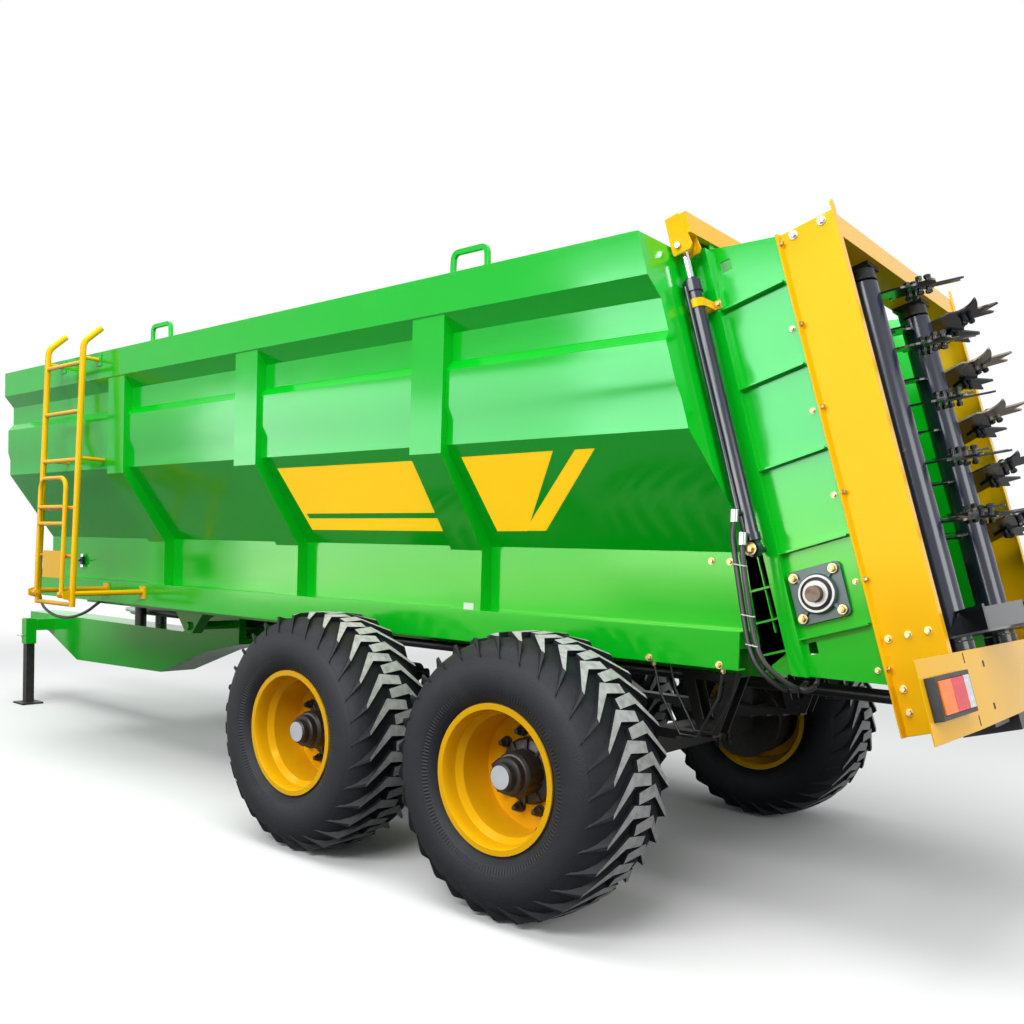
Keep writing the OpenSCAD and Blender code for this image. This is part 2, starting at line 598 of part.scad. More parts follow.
plate_bottom_z = 1045;
plate_top_z = rail_top_z + 10;
rear_top_u = plate_top_z / cos(lean);
guide_v0 = 500;                    // rear face of the guide post outside the plate
guide_v1 = 560;                    // front face of the guide post
guide_h = 36;                      // how far the guide post stands out
guide_in = 45;                     // how far the guide bars reach in
door_v = 500;                      // rear face of the door
stiffener_u0 = 1384;                // lowest stiffener between post and door guide
stiffener_pitch = (rear_top_u - 115 - stiffener_u0) / 4;
stiffener_us = [for (i = [0:4]) stiffener_u0 + stiffener_pitch * i];
upper_slot_u = rear_top_u + 33;
slot_size = 44;

// Side outline of the leaning plates in (X, Z), between two depths, cut level at both ends
function lean_cut(v0, v1, z0, z1) = [for (c = [[v0, z0], [v1, z0], [v1, z1], [v0, z1]])
    let (u = (c[1] + c[0] * sin(lean)) / cos(lean)) [lean_x(c[0], u), c[1]]];

module rear_frame() {
    difference() {
        along_y(side_half_w - side_t, side_half_w) union() {
            polygon(lean_cut(post_d - 30, panel_rear_v, plate_bottom_z, plate_top_z));
            polygon(lean_cut(panel_rear_v - 20, channel_rear_v + 13, plate_bottom_z, slope_foot_z - 20));
        }
        leaned() {
            box([425, 0, upper_slot_u], [425 + slot_size, 900, upper_slot_u + slot_size]);
            box([450, 0, 1320], [450 + slot_size - 10, 900, 1320 + slot_size]);
            translate([chain_shaft_v, 0, chain_shaft_u]) rotate([-90, 0, 0])
                cylinder(h = 900, d = chain_shaft_d + 20);
        }
    }
    // Door guide: two bars inside the plate with the door between them
    for (g = [[door_v - cover_gap - 22, door_v - cover_gap],
            [door_v + door_t + cover_gap, door_v + door_t + cover_gap + 30]])
        along_y(side_half_w - side_t - guide_in, side_half_w - side_t)
            polygon(lean_cut(g[0], g[1], floor_z + 30, plate_top_z));
    // Guide post outside the plate
    along_y(side_half_w, side_half_w + guide_h) polygon(lean_cut(guide_v0, guide_v1, plate_bottom_z, plate_top_z));
    for (u = stiffener_us) leaned() box([post_d + 12, side_half_w, u - 4], [guide_v0, side_half_w + 26, u + 4]);
    // Short stiffeners between the guide post and the channel's end
    leaned() difference() {
        for (u = [0:2]) box([guide_v1, side_half_w, lower_rib_u + lower_rib_pitch * u - 4],
            [channel_rear_v - 10, side_half_w + 26, lower_rib_u + lower_rib_pitch * u + 4]);
        box([panel_rear_v - 0.5, side_half_w, lower_rib_u], [panel_rear_v + side_t, side_half_w + 15.5, 2000]);
    }
}
lower_rib_u = 1356;
lower_rib_pitch = 124;
module rear_frame_left() color(green) place() rear_frame();
module rear_frame_right() color(green) place() mirror([0, 1, 0]) rear_frame();

post_foot_u = 972;
post_top_u = rear_top_u + 61;
post_flange = 40;
post_skin_y = side_half_w + post_t;
module post() leaned() translate([0, 0, post_foot_u]) linear_extrude(post_top_u - post_foot_u) {
    polygon([[post_d, side_half_w], [post_d, post_skin_y], [0, post_skin_y],
        [0, post_skin_y - post_flange], [post_t, post_skin_y - post_flange], [post_t, side_half_w]]);
    // Front edge folded out
    polygon([[post_d - 16, post_skin_y], [post_d, post_skin_y], [post_d - 4, post_skin_y + 30],
        [post_d - 10, post_skin_y + 30]]);
}
// The rear flange runs on above the post as a tab
module post_tab() leaned() translate([0, post_skin_y - post_flange, post_top_u - 1]) rotate([90, 0, 90])
    linear_extrude(post_t) polygon([[0, 0], [post_flange, 0], [post_flange, 33], [post_flange - 11, 47],
        [11, 47], [0, 33]]);
module post_left() color(yellow) place() { post(); post_tab(); }
module post_right() color(yellow) place() mirror([0, 1, 0]) { post(); post_tab(); }

beam_u = post_top_u - 90;
module top_beam() color(yellow) place() leaned() {
    box([post_t, -side_half_w, beam_u], [2 * post_t, side_half_w, post_top_u]);
    box([post_t, -side_half_w, beam_u], [160, side_half_w, beam_u + post_t]);
    box([post_t, -side_half_w, post_top_u - post_t], [110, side_half_w, post_top_u]);
}
// Upper beater bearings: a square flange under the beam and a round housing
module beater_bearings() color(black) place() leaned()
    for (s = [-1, 1]) translate([beater_v, s * beater_y, beam_u]) difference() {
        union() {
            translate([-65, -65, -16]) cube([130, 130, 16]);
            translate([0, 0, -60]) cylinder(h = 44, d = 124);
            translate([0, 0, -64]) cylinder(h = 6, d = 92);
        }
        translate([0, 0, -65]) cylinder(h = 50, d = 50.1);
    }

// Crossbeam under the beaters with the lower bearing housings
module bottom_beam() color(black) place() leaned() difference() {
    union() {
        box([beater_v - 60, -side_half_w, bottom_u - 110], [beater_v + 60, side_half_w, bottom_u]);
        for (s = [-1, 1]) translate([beater_v, s * beater_y, bottom_u]) cylinder(h = 36, d = 130);
    }
    for (s = [-1, 1]) translate([beater_v, s * beater_y, bottom_u - 60]) cylinder(h = 100, d = 60.1);
}

guard_u0 = 962;
guard_u1 = 1227;
guard_t = 6;
guard_gap = 40;                    // guard plate behind the posts
fold_y = side_half_w + 45;         // where the wings fold forward
wing_y = 1170;
wing_forward = 26;
lamp_y0 = 850;                     // a tail lamp's inner end
lamp_l = 290;
lamp_h = 136;
lamp_d = 34;
lamp_u0 = 1030;
// Guard: one plate with both wings folded a little forward, on four stand-off brackets
module rear_guard() color(yellow) place() leaned() {
    translate([0, 0, guard_u0]) linear_extrude(guard_u1 - guard_u0) polygon(sheet([
        [-guard_gap + wing_forward, -wing_y], [-guard_gap, -fold_y], [-guard_gap, fold_y],
        [-guard_gap + wing_forward, wing_y]], guard_t));
    both_sides() box([-guard_gap - 1, post_skin_y - post_flange, guard_u0 + 25], [0, post_skin_y, guard_u1 - 25]);
}
wing_angle = atan(wing_forward / (wing_y - fold_y));
lamp_seat = 0.05;                  // the lamps sit this far off the guard
// A lamp's own frame: X = 0 on the wing's rear face and Y outwards along the wing
module on_wing() leaned() translate([-guard_gap, fold_y, lamp_u0]) rotate([0, 0, -wing_angle])
    translate([-guard_t - lamp_seat, lamp_y0 - fold_y, 0]) children();
lamp_rim = 14;
module tail_lamps() color(black) place() both_sides() on_wing() difference() {
    translate([-lamp_d, 0, 0]) cube([lamp_d, lamp_l, lamp_h]);
    translate([-lamp_d - 1, lamp_rim, lamp_rim]) cube([13, lamp_l - 2 * lamp_rim, lamp_h - 2 * lamp_rim]);
}
// Lenses from the inner end: white, red and amber
lens_share = [0, 0.2, 0.62, 1];
lens_l = lamp_l - 2 * lamp_rim - 2;
module lamp_lenses() color("#c03028") place() both_sides() on_wing() for (i = [0:2])
    translate([-lamp_d - 4, lamp_rim + 1 + lens_share[i] * lens_l, lamp_rim + 1])
        cube([15.95, (lens_share[i + 1] - lens_share[i]) * lens_l - 1, lamp_h - 2 * lamp_rim - 2]);

drive_x = lean_x(beater_v + 110, bottom_u - 220);
drive_z = lean_z(beater_v + 110, bottom_u - 220);
module gearbox() color(black) place() {
    leaned() {
        box([beater_v - 110, -160, bottom_u - 330], [beater_v + 110, 160, bottom_u - 110]);
        for (s = [-1, 1])
            box([beater_v - 90, s * beater_y - 100, bottom_u - 290],
                [beater_v + 90, s * beater_y + 100, bottom_u - 110]);
    }
    translate([drive_x - 60, 0, drive_z]) rotate([0, 90, 0]) cylinder(h = 60 + snout_l, d = 110);
}

snout_l = 40;
pto_x = front_wall_x + 160;        // front end of the closed part of the drive shaft
module driveline() color(black) place()
    translate([drive_x + snout_l, 0, drive_z]) rotate([0, 90, 0])
        cylinder(h = pto_x - 120 - drive_x - snout_l, d = 60);

// ---------------------------------------------------------------- slurry door

cyl_y = 860;
cyl_v = 549;
cyl_foot_u = 1744;
rod_out = 145;                     // bare rod between the closed cylinder and its eye
door_foot_u = 1700;
eye_u = rear_top_u + 148;
cyl_top_u = eye_u - rod_out;
door_beam_u = eye_u + 33;
door_half_w = side_half_w - side_t - cover_gap;

pipe_d = 16;
pipe_at = [11, 38];                // oil pipe from the barrel's axis: ahead and outside
pipe_foot_u = cyl_foot_u + 135;
foot_port_u = cyl_foot_u + 50;
port_l = 52;                       // oil ports end this far outside the barrel's axis
module cylinders() color(navy) place() both_sides() leaned() {
    difference() {
        union() {
            translate([cyl_v, cyl_y, cyl_foot_u + 30]) cylinder(h = cyl_top_u - cyl_foot_u - 30, d = barrel_d);
            translate([cyl_v, cyl_y, cyl_top_u - 46]) cylinder(h = 46, d = barrel_d + 12);
            translate([cyl_v, cyl_y, cyl_top_u]) cylinder(h = 12, d = barrel_d - 14);
            translate([cyl_v, cyl_y, cyl_foot_u + 30]) cylinder(h = 28, d = barrel_d + 8);
            translate([cyl_v, cyl_y + 20, cyl_foot_u]) rotate([90, 0, 0]) cylinder(h = 40, d = 60);
            box([cyl_v - 24, cyl_y - 20, cyl_foot_u], [cyl_v + 24, cyl_y + 20, cyl_foot_u + 50]);
            // Ports: at the head towards the pipe, at the foot and the pipe's lower end outwards
            translate([cyl_v, cyl_y, cyl_top_u - 32]) rotate([0, 90, atan2(pipe_at[1], pipe_at[0])])
                cylinder(h = norm(pipe_at), d = 22);
            translate([cyl_v, cyl_y, foot_port_u]) rotate([-90, 0, 0]) cylinder(h = port_l, d = 22);
            translate([cyl_v + pipe_at[0], cyl_y + pipe_at[1] - 12, pipe_foot_u + 6]) rotate([-90, 0, 0])
                cylinder(h = port_l - pipe_at[1] + 12, d = 24);
            // Oil pipe from the head down to the hose beside the foot
            translate([cyl_v + pipe_at[0], cyl_y + pipe_at[1], pipe_foot_u])
                cylinder(h = cyl_top_u - 26 - pipe_foot_u, d = pipe_d);
        }
        translate([cyl_v, cyl_y, cyl_foot_u + 60]) cylinder(h = cyl_top_u, d = rod_d + 0.1);
    }
    // Foot pin in its boss on the guide post
    translate([cyl_v, side_half_w + guide_h, cyl_foot_u]) rotate([-90, 0, 0])
        cylinder(h = cyl_y - 20 - side_half_w - guide_h, d = 22);
    translate([cyl_v, cyl_y + 20, cyl_foot_u]) rotate([-90, 0, 0]) cylinder(h = 12, d = 40);
}
// Strap clamp over the barrel, on a plate on the guide post
clamp_u = rear_top_u - 95;
clamp_t = 5;
clamp_w = 34;
module cylinder_clamps() color(yellow) place() both_sides() leaned() translate([cyl_v, 0, clamp_u]) {
    box([-62, side_half_w + guide_h, -clamp_w / 2],
        [panel_rear_v - 1 - cyl_v, side_half_w + guide_h + 6, clamp_w / 2]);
    difference() {
        union() {
            translate([0, cyl_y, -clamp_w / 2]) cylinder(h = clamp_w, r = barrel_d / 2 + 0.3 + clamp_t);
            box([-barrel_d / 2 - 0.3 - clamp_t, side_half_w + guide_h + 6, -clamp_w / 2],
                [barrel_d / 2 + 0.3 + clamp_t, cyl_y, clamp_w / 2]);
        }
        translate([0, cyl_y, -clamp_w]) cylinder(h = 2 * clamp_w, r = barrel_d / 2 + 0.3);
        box([-barrel_d / 2 - 0.3, side_half_w, -clamp_w], [barrel_d / 2 + 0.3, cyl_y, clamp_w]);
        translate([pipe_at[0], cyl_y + pipe_at[1], -clamp_w]) cylinder(h = 2 * clamp_w, d = pipe_d + 1);
    }
}
module door_plate() color(green) place() leaned()
    box([door_v, -door_half_w, door_foot_u], [door_v + door_t, door_half_w, door_beam_u]);
// Lifting beam over the door, with a cheek at each end that drops to the rod's eye
cheek_v = panel_rear_v - 8;
cheek_line = [[door_v - 8, eye_u - 18], [door_v + 4, eye_u - 34], [cheek_v - 6, eye_u - 34],
    [cheek_v, eye_u - 20], [cheek_v, door_beam_u + 92], [door_v + 20, door_beam_u + 92]];
module door_beam() color(yellow) place() leaned() {
    difference() {
        box([door_v - 8, -cyl_y - 30, door_beam_u], [door_v + 70, cyl_y + 30, door_beam_u + 88]);
        box([door_v - 2, -cyl_y, door_beam_u + 6], [door_v + 64, cyl_y, door_beam_u + 82]);
        box([door_v + 16, -cyl_y + 60, door_beam_u - 1], [door_v + 48, cyl_y - 60, door_beam_u + 8]);
    }
    both_sides() for (y = [cyl_y + 30, cyl_y - 38]) translate([0, y + 8, 0]) rotate([90, 0, 0])
        linear_extrude(8) difference() {
            polygon(cheek_line);
            translate([cyl_v, eye_u]) circle(d = door_pin_d + 0.1);
        }
}
door_pin_d = 24;
module door_rods() color(steel) place() both_sides() leaned() {
    translate([cyl_v, cyl_y, cyl_foot_u + 70]) cylinder(h = eye_u - cyl_foot_u - 90, d = rod_d);
    translate([cyl_v, cyl_y + 22, eye_u]) rotate([90, 0, 0]) cylinder(h = 44, d = 56);
    translate([cyl_v, cyl_y + 50, eye_u]) rotate([90, 0, 0]) cylinder(h = 100, d = door_pin_d);
}

// ---------------------------------------------------------------- beaters

flight_r = 265;                    // outer radius of a flight
flight_t = 8;
flight_half = 46;                  // half the angle that a flight covers
flight_pitch = 14;                 // how steeply a flight climbs, degrees
knife_t = 8;
knife_w = 72;
knife_root = 178;                  // radius where a knife's inner end lies
knife_spread = 15;                 // knives either side of the flight's middle, degrees
fork_depth = 48;
rest_turn = [220, 230];            // where the left and the right beater's flights point at rest
function knife_levels(u0) = floor((beam_u - 60 - u0) / knife_pitch) + 1;

// Flight: a sector of plate with its edges scalloped between the knives
module flight() linear_extrude(flight_t) difference() {
    intersection() {
        circle(r = flight_r);
        polygon([[0, 0], for (a = [-1, 0, 1]) 2 * flight_r * [cos(a * flight_half), sin(a * flight_half)]]);
    }
    circle(r = core_d / 2 - 12);
    for (a = [-1, 1]) rotate(a * (flight_half + 8)) translate([flight_r - 62, 0]) circle(r = 62);
    translate([flight_r + 26, 0]) circle(r = 44);
}
// Knife: a flat blade with a swallow-tail end
module knife() linear_extrude(knife_t) polygon([
    [knife_root, -knife_w / 2], [knife_r - 8, -knife_w / 2], [knife_r, -knife_w / 2 + 6],
    [knife_r - fork_depth, 0], [knife_r, knife_w / 2 - 6], [knife_r - 8, knife_w / 2], [knife_root, knife_w / 2]]);
// Flight with one knife bolted above it and one below
module armed_flight() rotate([flight_pitch, 0, 0]) {
    flight();
    rotate(knife_spread) translate([0, 0, flight_t]) knife();
    rotate(-knife_spread) translate([0, 0, -knife_t]) knife();
    for (a = [-1, 1], r = [30, 62]) rotate(a * knife_spread) translate([knife_root + r, 0, -knife_t - 10])
        cylinder(h = flight_t + 2 * knife_t + 20, d = 20);
}
paddle_h = 92;
module paddle() {
    box([core_d / 2 - 10, -4, disc_u + 8], [disc_r - 2, 4, disc_u + 8 + paddle_h]);
    // Gusset behind the paddle
    translate([core_d / 2 + 40, -4, disc_u + 8]) rotate([0, -90, 0]) linear_extrude(8)
        polygon([[0, 0], [paddle_h - 10, 0], [0, -70]]);
}
module beater(u0) {
    translate([0, 0, bottom_u + 40]) cylinder(h = beam_u - 70 - bottom_u - 40, d = core_d);
    translate([0, 0, bottom_u - 55]) cylinder(h = 96, d = 60);
    translate([0, 0, beam_u - 71]) cylinder(h = 50, d = 50);
    translate([0, 0, disc_u]) cylinder(h = 8, r = disc_r);
    for (a = [0:90:270]) rotate(a) paddle();
    for (i = [0:knife_levels(u0) - 1], a = [0, 180]) rotate(a) translate([0, 0, u0 + knife_pitch * i]) armed_flight();
}
module beater_left() color(navy) place() leaned() translate([beater_v, beater_y, 0]) rotate(rest_turn[0])
    beater(knife_u0);
module beater_right() color(navy) place() leaned() translate([beater_v, -beater_y, 0]) rotate(rest_turn[1])
    mirror([0, 1, 0]) beater(knife_u0);

// ---------------------------------------------------------------- drawbar

drawbar_top_z = 800;
pivot_x = 3600;
pivot_z = 900;
fork_gap = 180;                    // gap between the fork arms, where the drive shaft passes
drawbar_line = [[pivot_x - 100, 760], [pivot_x - 100, 980], [pivot_x + 120, 980], [4250, drawbar_top_z],
    [tow_eye_x - 120, drawbar_top_z], [tow_eye_x - 120, 690], [6500, 640], [5950, 425], [4560, 457], [3900, 680]];
module drawbar() color(green) place() {
    difference() {
        along_y(-drawbar_w / 2, drawbar_w / 2) polygon(drawbar_line);
        box([pivot_x - 200, -fork_gap / 2, drawbar_top_z], [4400, fork_gap / 2, 1000]);
    }
    box([jack_x - 60, drawbar_w / 2 - 5, 660], [jack_x + 60, jack_y - jack_sleeve_w / 2, 760]);
}
// Pivot pins and their lugs under the chassis rails
module drawbar_pivots() color(green) place() both_sides() {
    rod_y(pivot_x, pivot_z, drawbar_w / 2, rail_y + 60, 60);
    along_y(rail_y - 40, rail_y + 40) polygon([[pivot_x - 170, rail_foot], [pivot_x - 40, pivot_z - 50],
        [pivot_x + 40, pivot_z - 50], [pivot_x + 170, rail_foot]]);
}
module drawbar_springs() color(black) place() both_sides()
    translate([4980, 90, drawbar_top_z]) cylinder(h = cross_top_z - cross_h - drawbar_top_z, d = 90);

module tow_eye() color(steel) place() difference() {
    union() {
        box([tow_eye_x - 120, -90, tow_eye_z - 70], [tow_eye_x - 95, 90, tow_eye_z + 60]);
        box([tow_eye_x - 95, -30, tow_eye_z - 22], [tow_eye_x - 30, 30, tow_eye_z + 22]);
        translate([tow_eye_x, 0, tow_eye_z - 22]) cylinder(h = 44, r = eye_r);
    }
    translate([tow_eye_x, 0, tow_eye_z - 30]) cylinder(h = 60, d = tow_eye_bore);
}
pto_d = 34.9;
module pto_input() color(steel) place() translate([pto_x - 120, 0, drive_z]) rotate([0, 90, 0]) {
    cylinder(h = 120, d = 80);
    translate([0, 0, 120]) cylinder(h = 110, d = pto_d);
}

jack_y = 350;
jack_leg_w = jack_sleeve_w - 20;
module jack_sleeve() color(green) place() difference() {
    box([jack_x - jack_sleeve_w / 2, jack_y - jack_sleeve_w / 2, 540],
        [jack_x + jack_sleeve_w / 2, jack_y + jack_sleeve_w / 2, 765]);
    box([jack_x - jack_sleeve_w / 2 + 5, jack_y - jack_sleeve_w / 2 + 5, 500],
        [jack_x + jack_sleeve_w / 2 - 5, jack_y + jack_sleeve_w / 2 - 5, 800]);
}
module jack_leg() color(black) place() {
    box([jack_x - jack_leg_w / 2, jack_y - jack_leg_w / 2, 15], [jack_x + jack_leg_w / 2, jack_y + jack_leg_w / 2, 750]);
    box([jack_x - 100, jack_y - 90, 0], [jack_x + 100, jack_y + 90, 15]);
}

// ---------------------------------------------------------------- ladder

ladder_foot = [1275, 1045];        // (Y, Z) of the stringers' feet
ladder_knee = [1225, 2700];
hook_r = 90;
hook_turn = 45;
hook_l = 120;
stringer_a = atan2(ladder_knee[1] - ladder_foot[1], ladder_knee[0] - ladder_foot[0]);
hook_a = stringer_a + hook_turn;
hook_end = ladder_knee + hook_r * [sin(hook_a) - sin(stringer_a), cos(stringer_a) - cos(hook_a)];
module stringer(x) {
    bar([x, ladder_foot[0], ladder_foot[1]], [x, ladder_knee[0], ladder_knee[1]], ladder_tube_d);
    elbow([x, ladder_knee[0], ladder_knee[1]], stringer_a, hook_turn, hook_r, ladder_tube_d + 0.6);
    bar([x, hook_end[0], hook_end[1]],
        [x, hook_end[0] + hook_l * cos(hook_a), hook_end[1] + hook_l * sin(hook_a)], ladder_tube_d);
}
function ladder_y(z) = ladder_foot[0] + (ladder_knee[0] - ladder_foot[0]) * (z - ladder_foot[1]) / (ladder_knee[1] - ladder_foot[1]);
module ladder() color(yellow) place() {
    for (s = [0, 1]) stringer(ladder_x + s * ladder_w);
    for (z = [rung_z0:rung_pitch:ladder_knee[1] - 50])
        bar([ladder_x, ladder_y(z), z], [ladder_x + ladder_w, ladder_y(z), z], 28);
    // Stays to the hopper
    for (s = [0, 1]) {
        bar([ladder_x + s * ladder_w, ladder_y(upper_stay_z), upper_stay_z],
            [ladder_x + s * ladder_w, rail_half_w + pad_t, upper_stay_z], stay_d);
        bar([ladder_x + s * ladder_w, ladder_y(lower_stay_z), lower_stay_z],
            [ladder_x + s * ladder_w, slope_out, lower_stay_z], stay_d);
        // Foot bar that runs aft to a plate on the sill
        bar([ladder_x + s * ladder_w, ladder_y(foot_bar_z), foot_bar_z],
            [ladder_x + s * ladder_w - foot_bar_back, sill_half_w + 5, foot_bar_z + 14], 34);
        box([ladder_x + s * ladder_w - foot_bar_back - 34, sill_half_w, foot_bar_z - 32],
            [ladder_x + s * ladder_w - foot_bar_back + 34, sill_half_w + 11, foot_bar_z + 52]);
    }
    // Hinge lugs and pins for the folding step
    for (s = [0, 1]) {
        x = ladder_x + s * ladder_w;
        along = s == 0 ? 1 : -1;
        translate([x - 5, 0, 0]) rotate([90, 0, 90]) linear_extrude(10) polygon([
            [ladder_foot[0] - 10, step_hinge[1] - 40], [step_hinge[0] + 22, step_hinge[1] - 22],
            [step_hinge[0] + 22, step_hinge[1] + 22], [ladder_foot[0] - 10, step_hinge[1] + 40]]);
        translate([x, step_hinge[0], step_hinge[1]]) rotate([0, along * 90, 0])
            cylinder(h = step_inset + 22, d = step_pin_d);
    }
}
rung_z0 = ladder_foot[1] + 14;
rung_pitch = 310;
stay_d = 24;
upper_stay_z = rail_top_z - 50;
pad_t = 6;                         // plates on the rail behind the upper stays
foot_bar_z = 1130;
foot_bar_back = 108;
lower_stay_z = slope_top_z + lower_band / 2;
step_hinge = [1314, 1120];         // (Y, Z) of the step's hinge
step_pin_d = 20;
step_inset = 66;                   // step's legs from the ladder's stringers
step_w = ladder_w - 2 * step_inset;
step_l = 752;
step_r = 75;
step_d = 28;
// Folding step: a bent tube with two rungs and a tread plate, Y along its length
module ladder_step() color(yellow) place()
    translate([ladder_x + step_inset, step_hinge[0], step_hinge[1]]) rotate([stringer_a, 0, 0]) difference() {
        union() {
            for (x = [0, step_w]) {
                bar([x, 0, 0], [x, step_l - step_r, 0], step_d);
                translate([x - 16, 0, 0]) rotate([0, 90, 0]) cylinder(h = 32, d = 44);
            }
            for (s = [0, 1]) translate([s == 0 ? step_r : step_w - step_r, step_l - step_r, 0]) rotate(90 - 90 * s)
                rotate_extrude(angle = 90) translate([step_r, 0]) circle(d = step_d + 0.6);
            for (q = [[step_r, step_l], [0, 456], [0, 564]]) bar([q[0], q[1], 0], [step_w - q[0], q[1], 0], step_d);
            box([0, 107, -3], [0.76 * step_w, 281, 3]);
        }
        translate([-step_inset, 0, 0]) rotate([0, 90, 0]) cylinder(h = ladder_w, d = step_pin_d + 0.1);
    }

// ---------------------------------------------------------------- hoses

hose_d = 22;
ferrule_l = 46;
ferrule_depth = 20;                // how far a hose's end reaches into its ferrule
// Ferrule at the origin, its mouth at +Z
module ferrule() difference() {
    cylinder(h = ferrule_l, d = hose_d + 10);
    translate([0, 0, ferrule_l - ferrule_depth - 1]) cylinder(h = ferrule_depth + 2, d = hose_d + 2);
}
port_y = cyl_y + 68;               // hoses beside the cylinders' feet
// Oil ports beside a cylinder: [X, Z]
hose_tops = [[lean_x(cyl_v + pipe_at[0], pipe_foot_u + 6), lean_z(cyl_v + pipe_at[0], pipe_foot_u + 6)],
    [lean_x(cyl_v, foot_port_u), lean_z(cyl_v, foot_port_u)]];
// Their feet on a block inside the side plate
hose_foot_xs = [-1005, -1045];
hose_foot_y = side_half_w - side_t - 22;
hose_foot_z = plate_bottom_z + 60;
front_port = [front_wall_x, channel_half_w - 55, 1330];
rail_port = [4700, rail_y + chassis_rail_w / 2, rail_foot + 20];
module hose_fittings() color(steel) place() {
    both_sides() {
        // Elbows beside the cylinder: a short arm outwards and a ferrule downwards
        for (t = hose_tops) translate([t[0], port_y, t[1]]) {
            rotate([90, 0, 0]) cylinder(h = port_y - cyl_y - port_l, d = 20);
            translate([0, 0, 12]) mirror([0, 0, 1]) ferrule();
        }
        box([hose_foot_xs[1] - 26, side_half_w - side_t - 44, hose_foot_z - 8],
            [hose_foot_xs[0] + 26, side_half_w - side_t, hose_foot_z + 26]);
        for (x = hose_foot_xs) translate([x, hose_foot_y, hose_foot_z]) mirror([0, 0, 1]) ferrule();
    }
    translate(front_port) rotate([0, 90, 0]) ferrule();
    translate(rail_port) rotate([-90, 0, 0]) ferrule();
}
// Pair of hoses from the ports, down past the side plate's edge and up inside it
hose_ways = [[[-787, 930, 1560], [-798, 932, 1500], [-812, 933, 1430], [-833, 934, 1330], [-852, 934, 1240],
    [-872, 934, 1160], [-905, 930, 1088], [-950, 905, 1035], [-985, 850, 1002], [-1003, 780, 998], [-1006, 726, 1018]],
    [[-829, 930, 1500], [-840, 933, 1430], [-860, 934, 1330], [-879, 934, 1240], [-900, 934, 1165],
    [-934, 930, 1100], [-985, 900, 1045], [-1022, 845, 1010], [-1043, 780, 1000], [-1046, 726, 1018]]];
module hose_pair() for (i = [0, 1]) cord(concat(
    [[hose_tops[i][0], port_y, hose_tops[i][1] + 12 - ferrule_l + ferrule_depth],
        [hose_tops[i][0], port_y, hose_tops[i][1] - 44]],
    hose_ways[i],
    [[hose_foot_xs[i], hose_foot_y, hose_foot_z - ferrule_l - 14],
        [hose_foot_xs[i], hose_foot_y, hose_foot_z - ferrule_l + ferrule_depth]]), hose_d, 3, 8);
module hose_rear() color(black) place() both_sides() hose_pair();
hose_front_line = [front_port + [ferrule_l - ferrule_depth, 0, 0], front_port + [ferrule_l + 4, 0, 0],
    front_port + [ferrule_l + 34, 0, 0], [5270, 722, 1290], [5345, 740, 1140], [5310, 740, 970], [5150, 720, 890], [4950, 690, 880], [4790, 640, 930],
    rail_port + [0, ferrule_l + 34, 0], rail_port + [0, ferrule_l + 4, 0],
    rail_port + [0, ferrule_l - ferrule_depth, 0]];
module hose_front() color(black) place() cord(hose_front_line, hose_d);

hopper_left();
hopper_right();
hopper_front();
lifting_lugs();
floor_panel();
floor_chain();
floor_slats();
floor_shaft();
shaft_bearings();
sills();
chassis_rails();
crossmembers();
spring_hangers();
springs();
axles();
brakes();
rear_frame_left();
rear_frame_right();
post_left();
post_right();
top_beam();
bottom_beam();
beater_bearings();
rear_guard();
tail_lamps();
lamp_lenses();
gearbox();
driveline();
cylinders();
cylinder_clamps();
door_plate();
door_beam();
door_rods();
beater_left();
beater_right();
drawbar();
drawbar_pivots();
drawbar_springs();
tow_eye();
pto_input();
jack_sleeve();
jack_leg();
ladder();
ladder_step();
tyre_front_left();
rim_front_left();
hub_front_left();
tyre_rear_left();
rim_rear_left();
hub_rear_left();
tyre_front_right();
rim_front_right();
hub_front_right();
tyre_rear_right();
rim_rear_right();
hub_rear_right();
hose_fittings();
hose_rear();
hose_front();
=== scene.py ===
# Tandem-axle manure spreader, dressed for a studio picture.
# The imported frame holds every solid. This script gives each one its finish and adds
# the fixings, films, lenses and rubber detail that sit on them.
import json
import math
from itertools import product

import bpy
import bmesh
from mathutils import Matrix, Vector


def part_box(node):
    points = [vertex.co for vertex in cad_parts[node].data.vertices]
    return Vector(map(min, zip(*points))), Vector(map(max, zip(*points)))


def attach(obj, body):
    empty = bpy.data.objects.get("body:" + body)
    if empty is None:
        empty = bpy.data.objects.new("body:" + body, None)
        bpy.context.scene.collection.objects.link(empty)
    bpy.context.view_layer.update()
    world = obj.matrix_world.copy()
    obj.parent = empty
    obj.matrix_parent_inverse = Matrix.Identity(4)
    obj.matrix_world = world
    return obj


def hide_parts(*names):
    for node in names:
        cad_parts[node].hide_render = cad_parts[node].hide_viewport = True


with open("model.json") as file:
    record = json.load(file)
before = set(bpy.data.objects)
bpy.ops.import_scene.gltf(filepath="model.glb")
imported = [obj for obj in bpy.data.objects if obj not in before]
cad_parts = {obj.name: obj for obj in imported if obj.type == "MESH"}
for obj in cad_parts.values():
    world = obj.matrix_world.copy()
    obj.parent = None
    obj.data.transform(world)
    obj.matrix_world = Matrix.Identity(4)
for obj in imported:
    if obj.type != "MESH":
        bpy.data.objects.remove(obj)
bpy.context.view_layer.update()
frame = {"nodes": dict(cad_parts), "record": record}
nodes = frame["nodes"]


# ------------------------------------------------------------------ studio
# A seamless white sweep under one wide softbox overhead and smaller ones to the left and
# behind. Two wide cards on the left show only in the gloss of the paint.

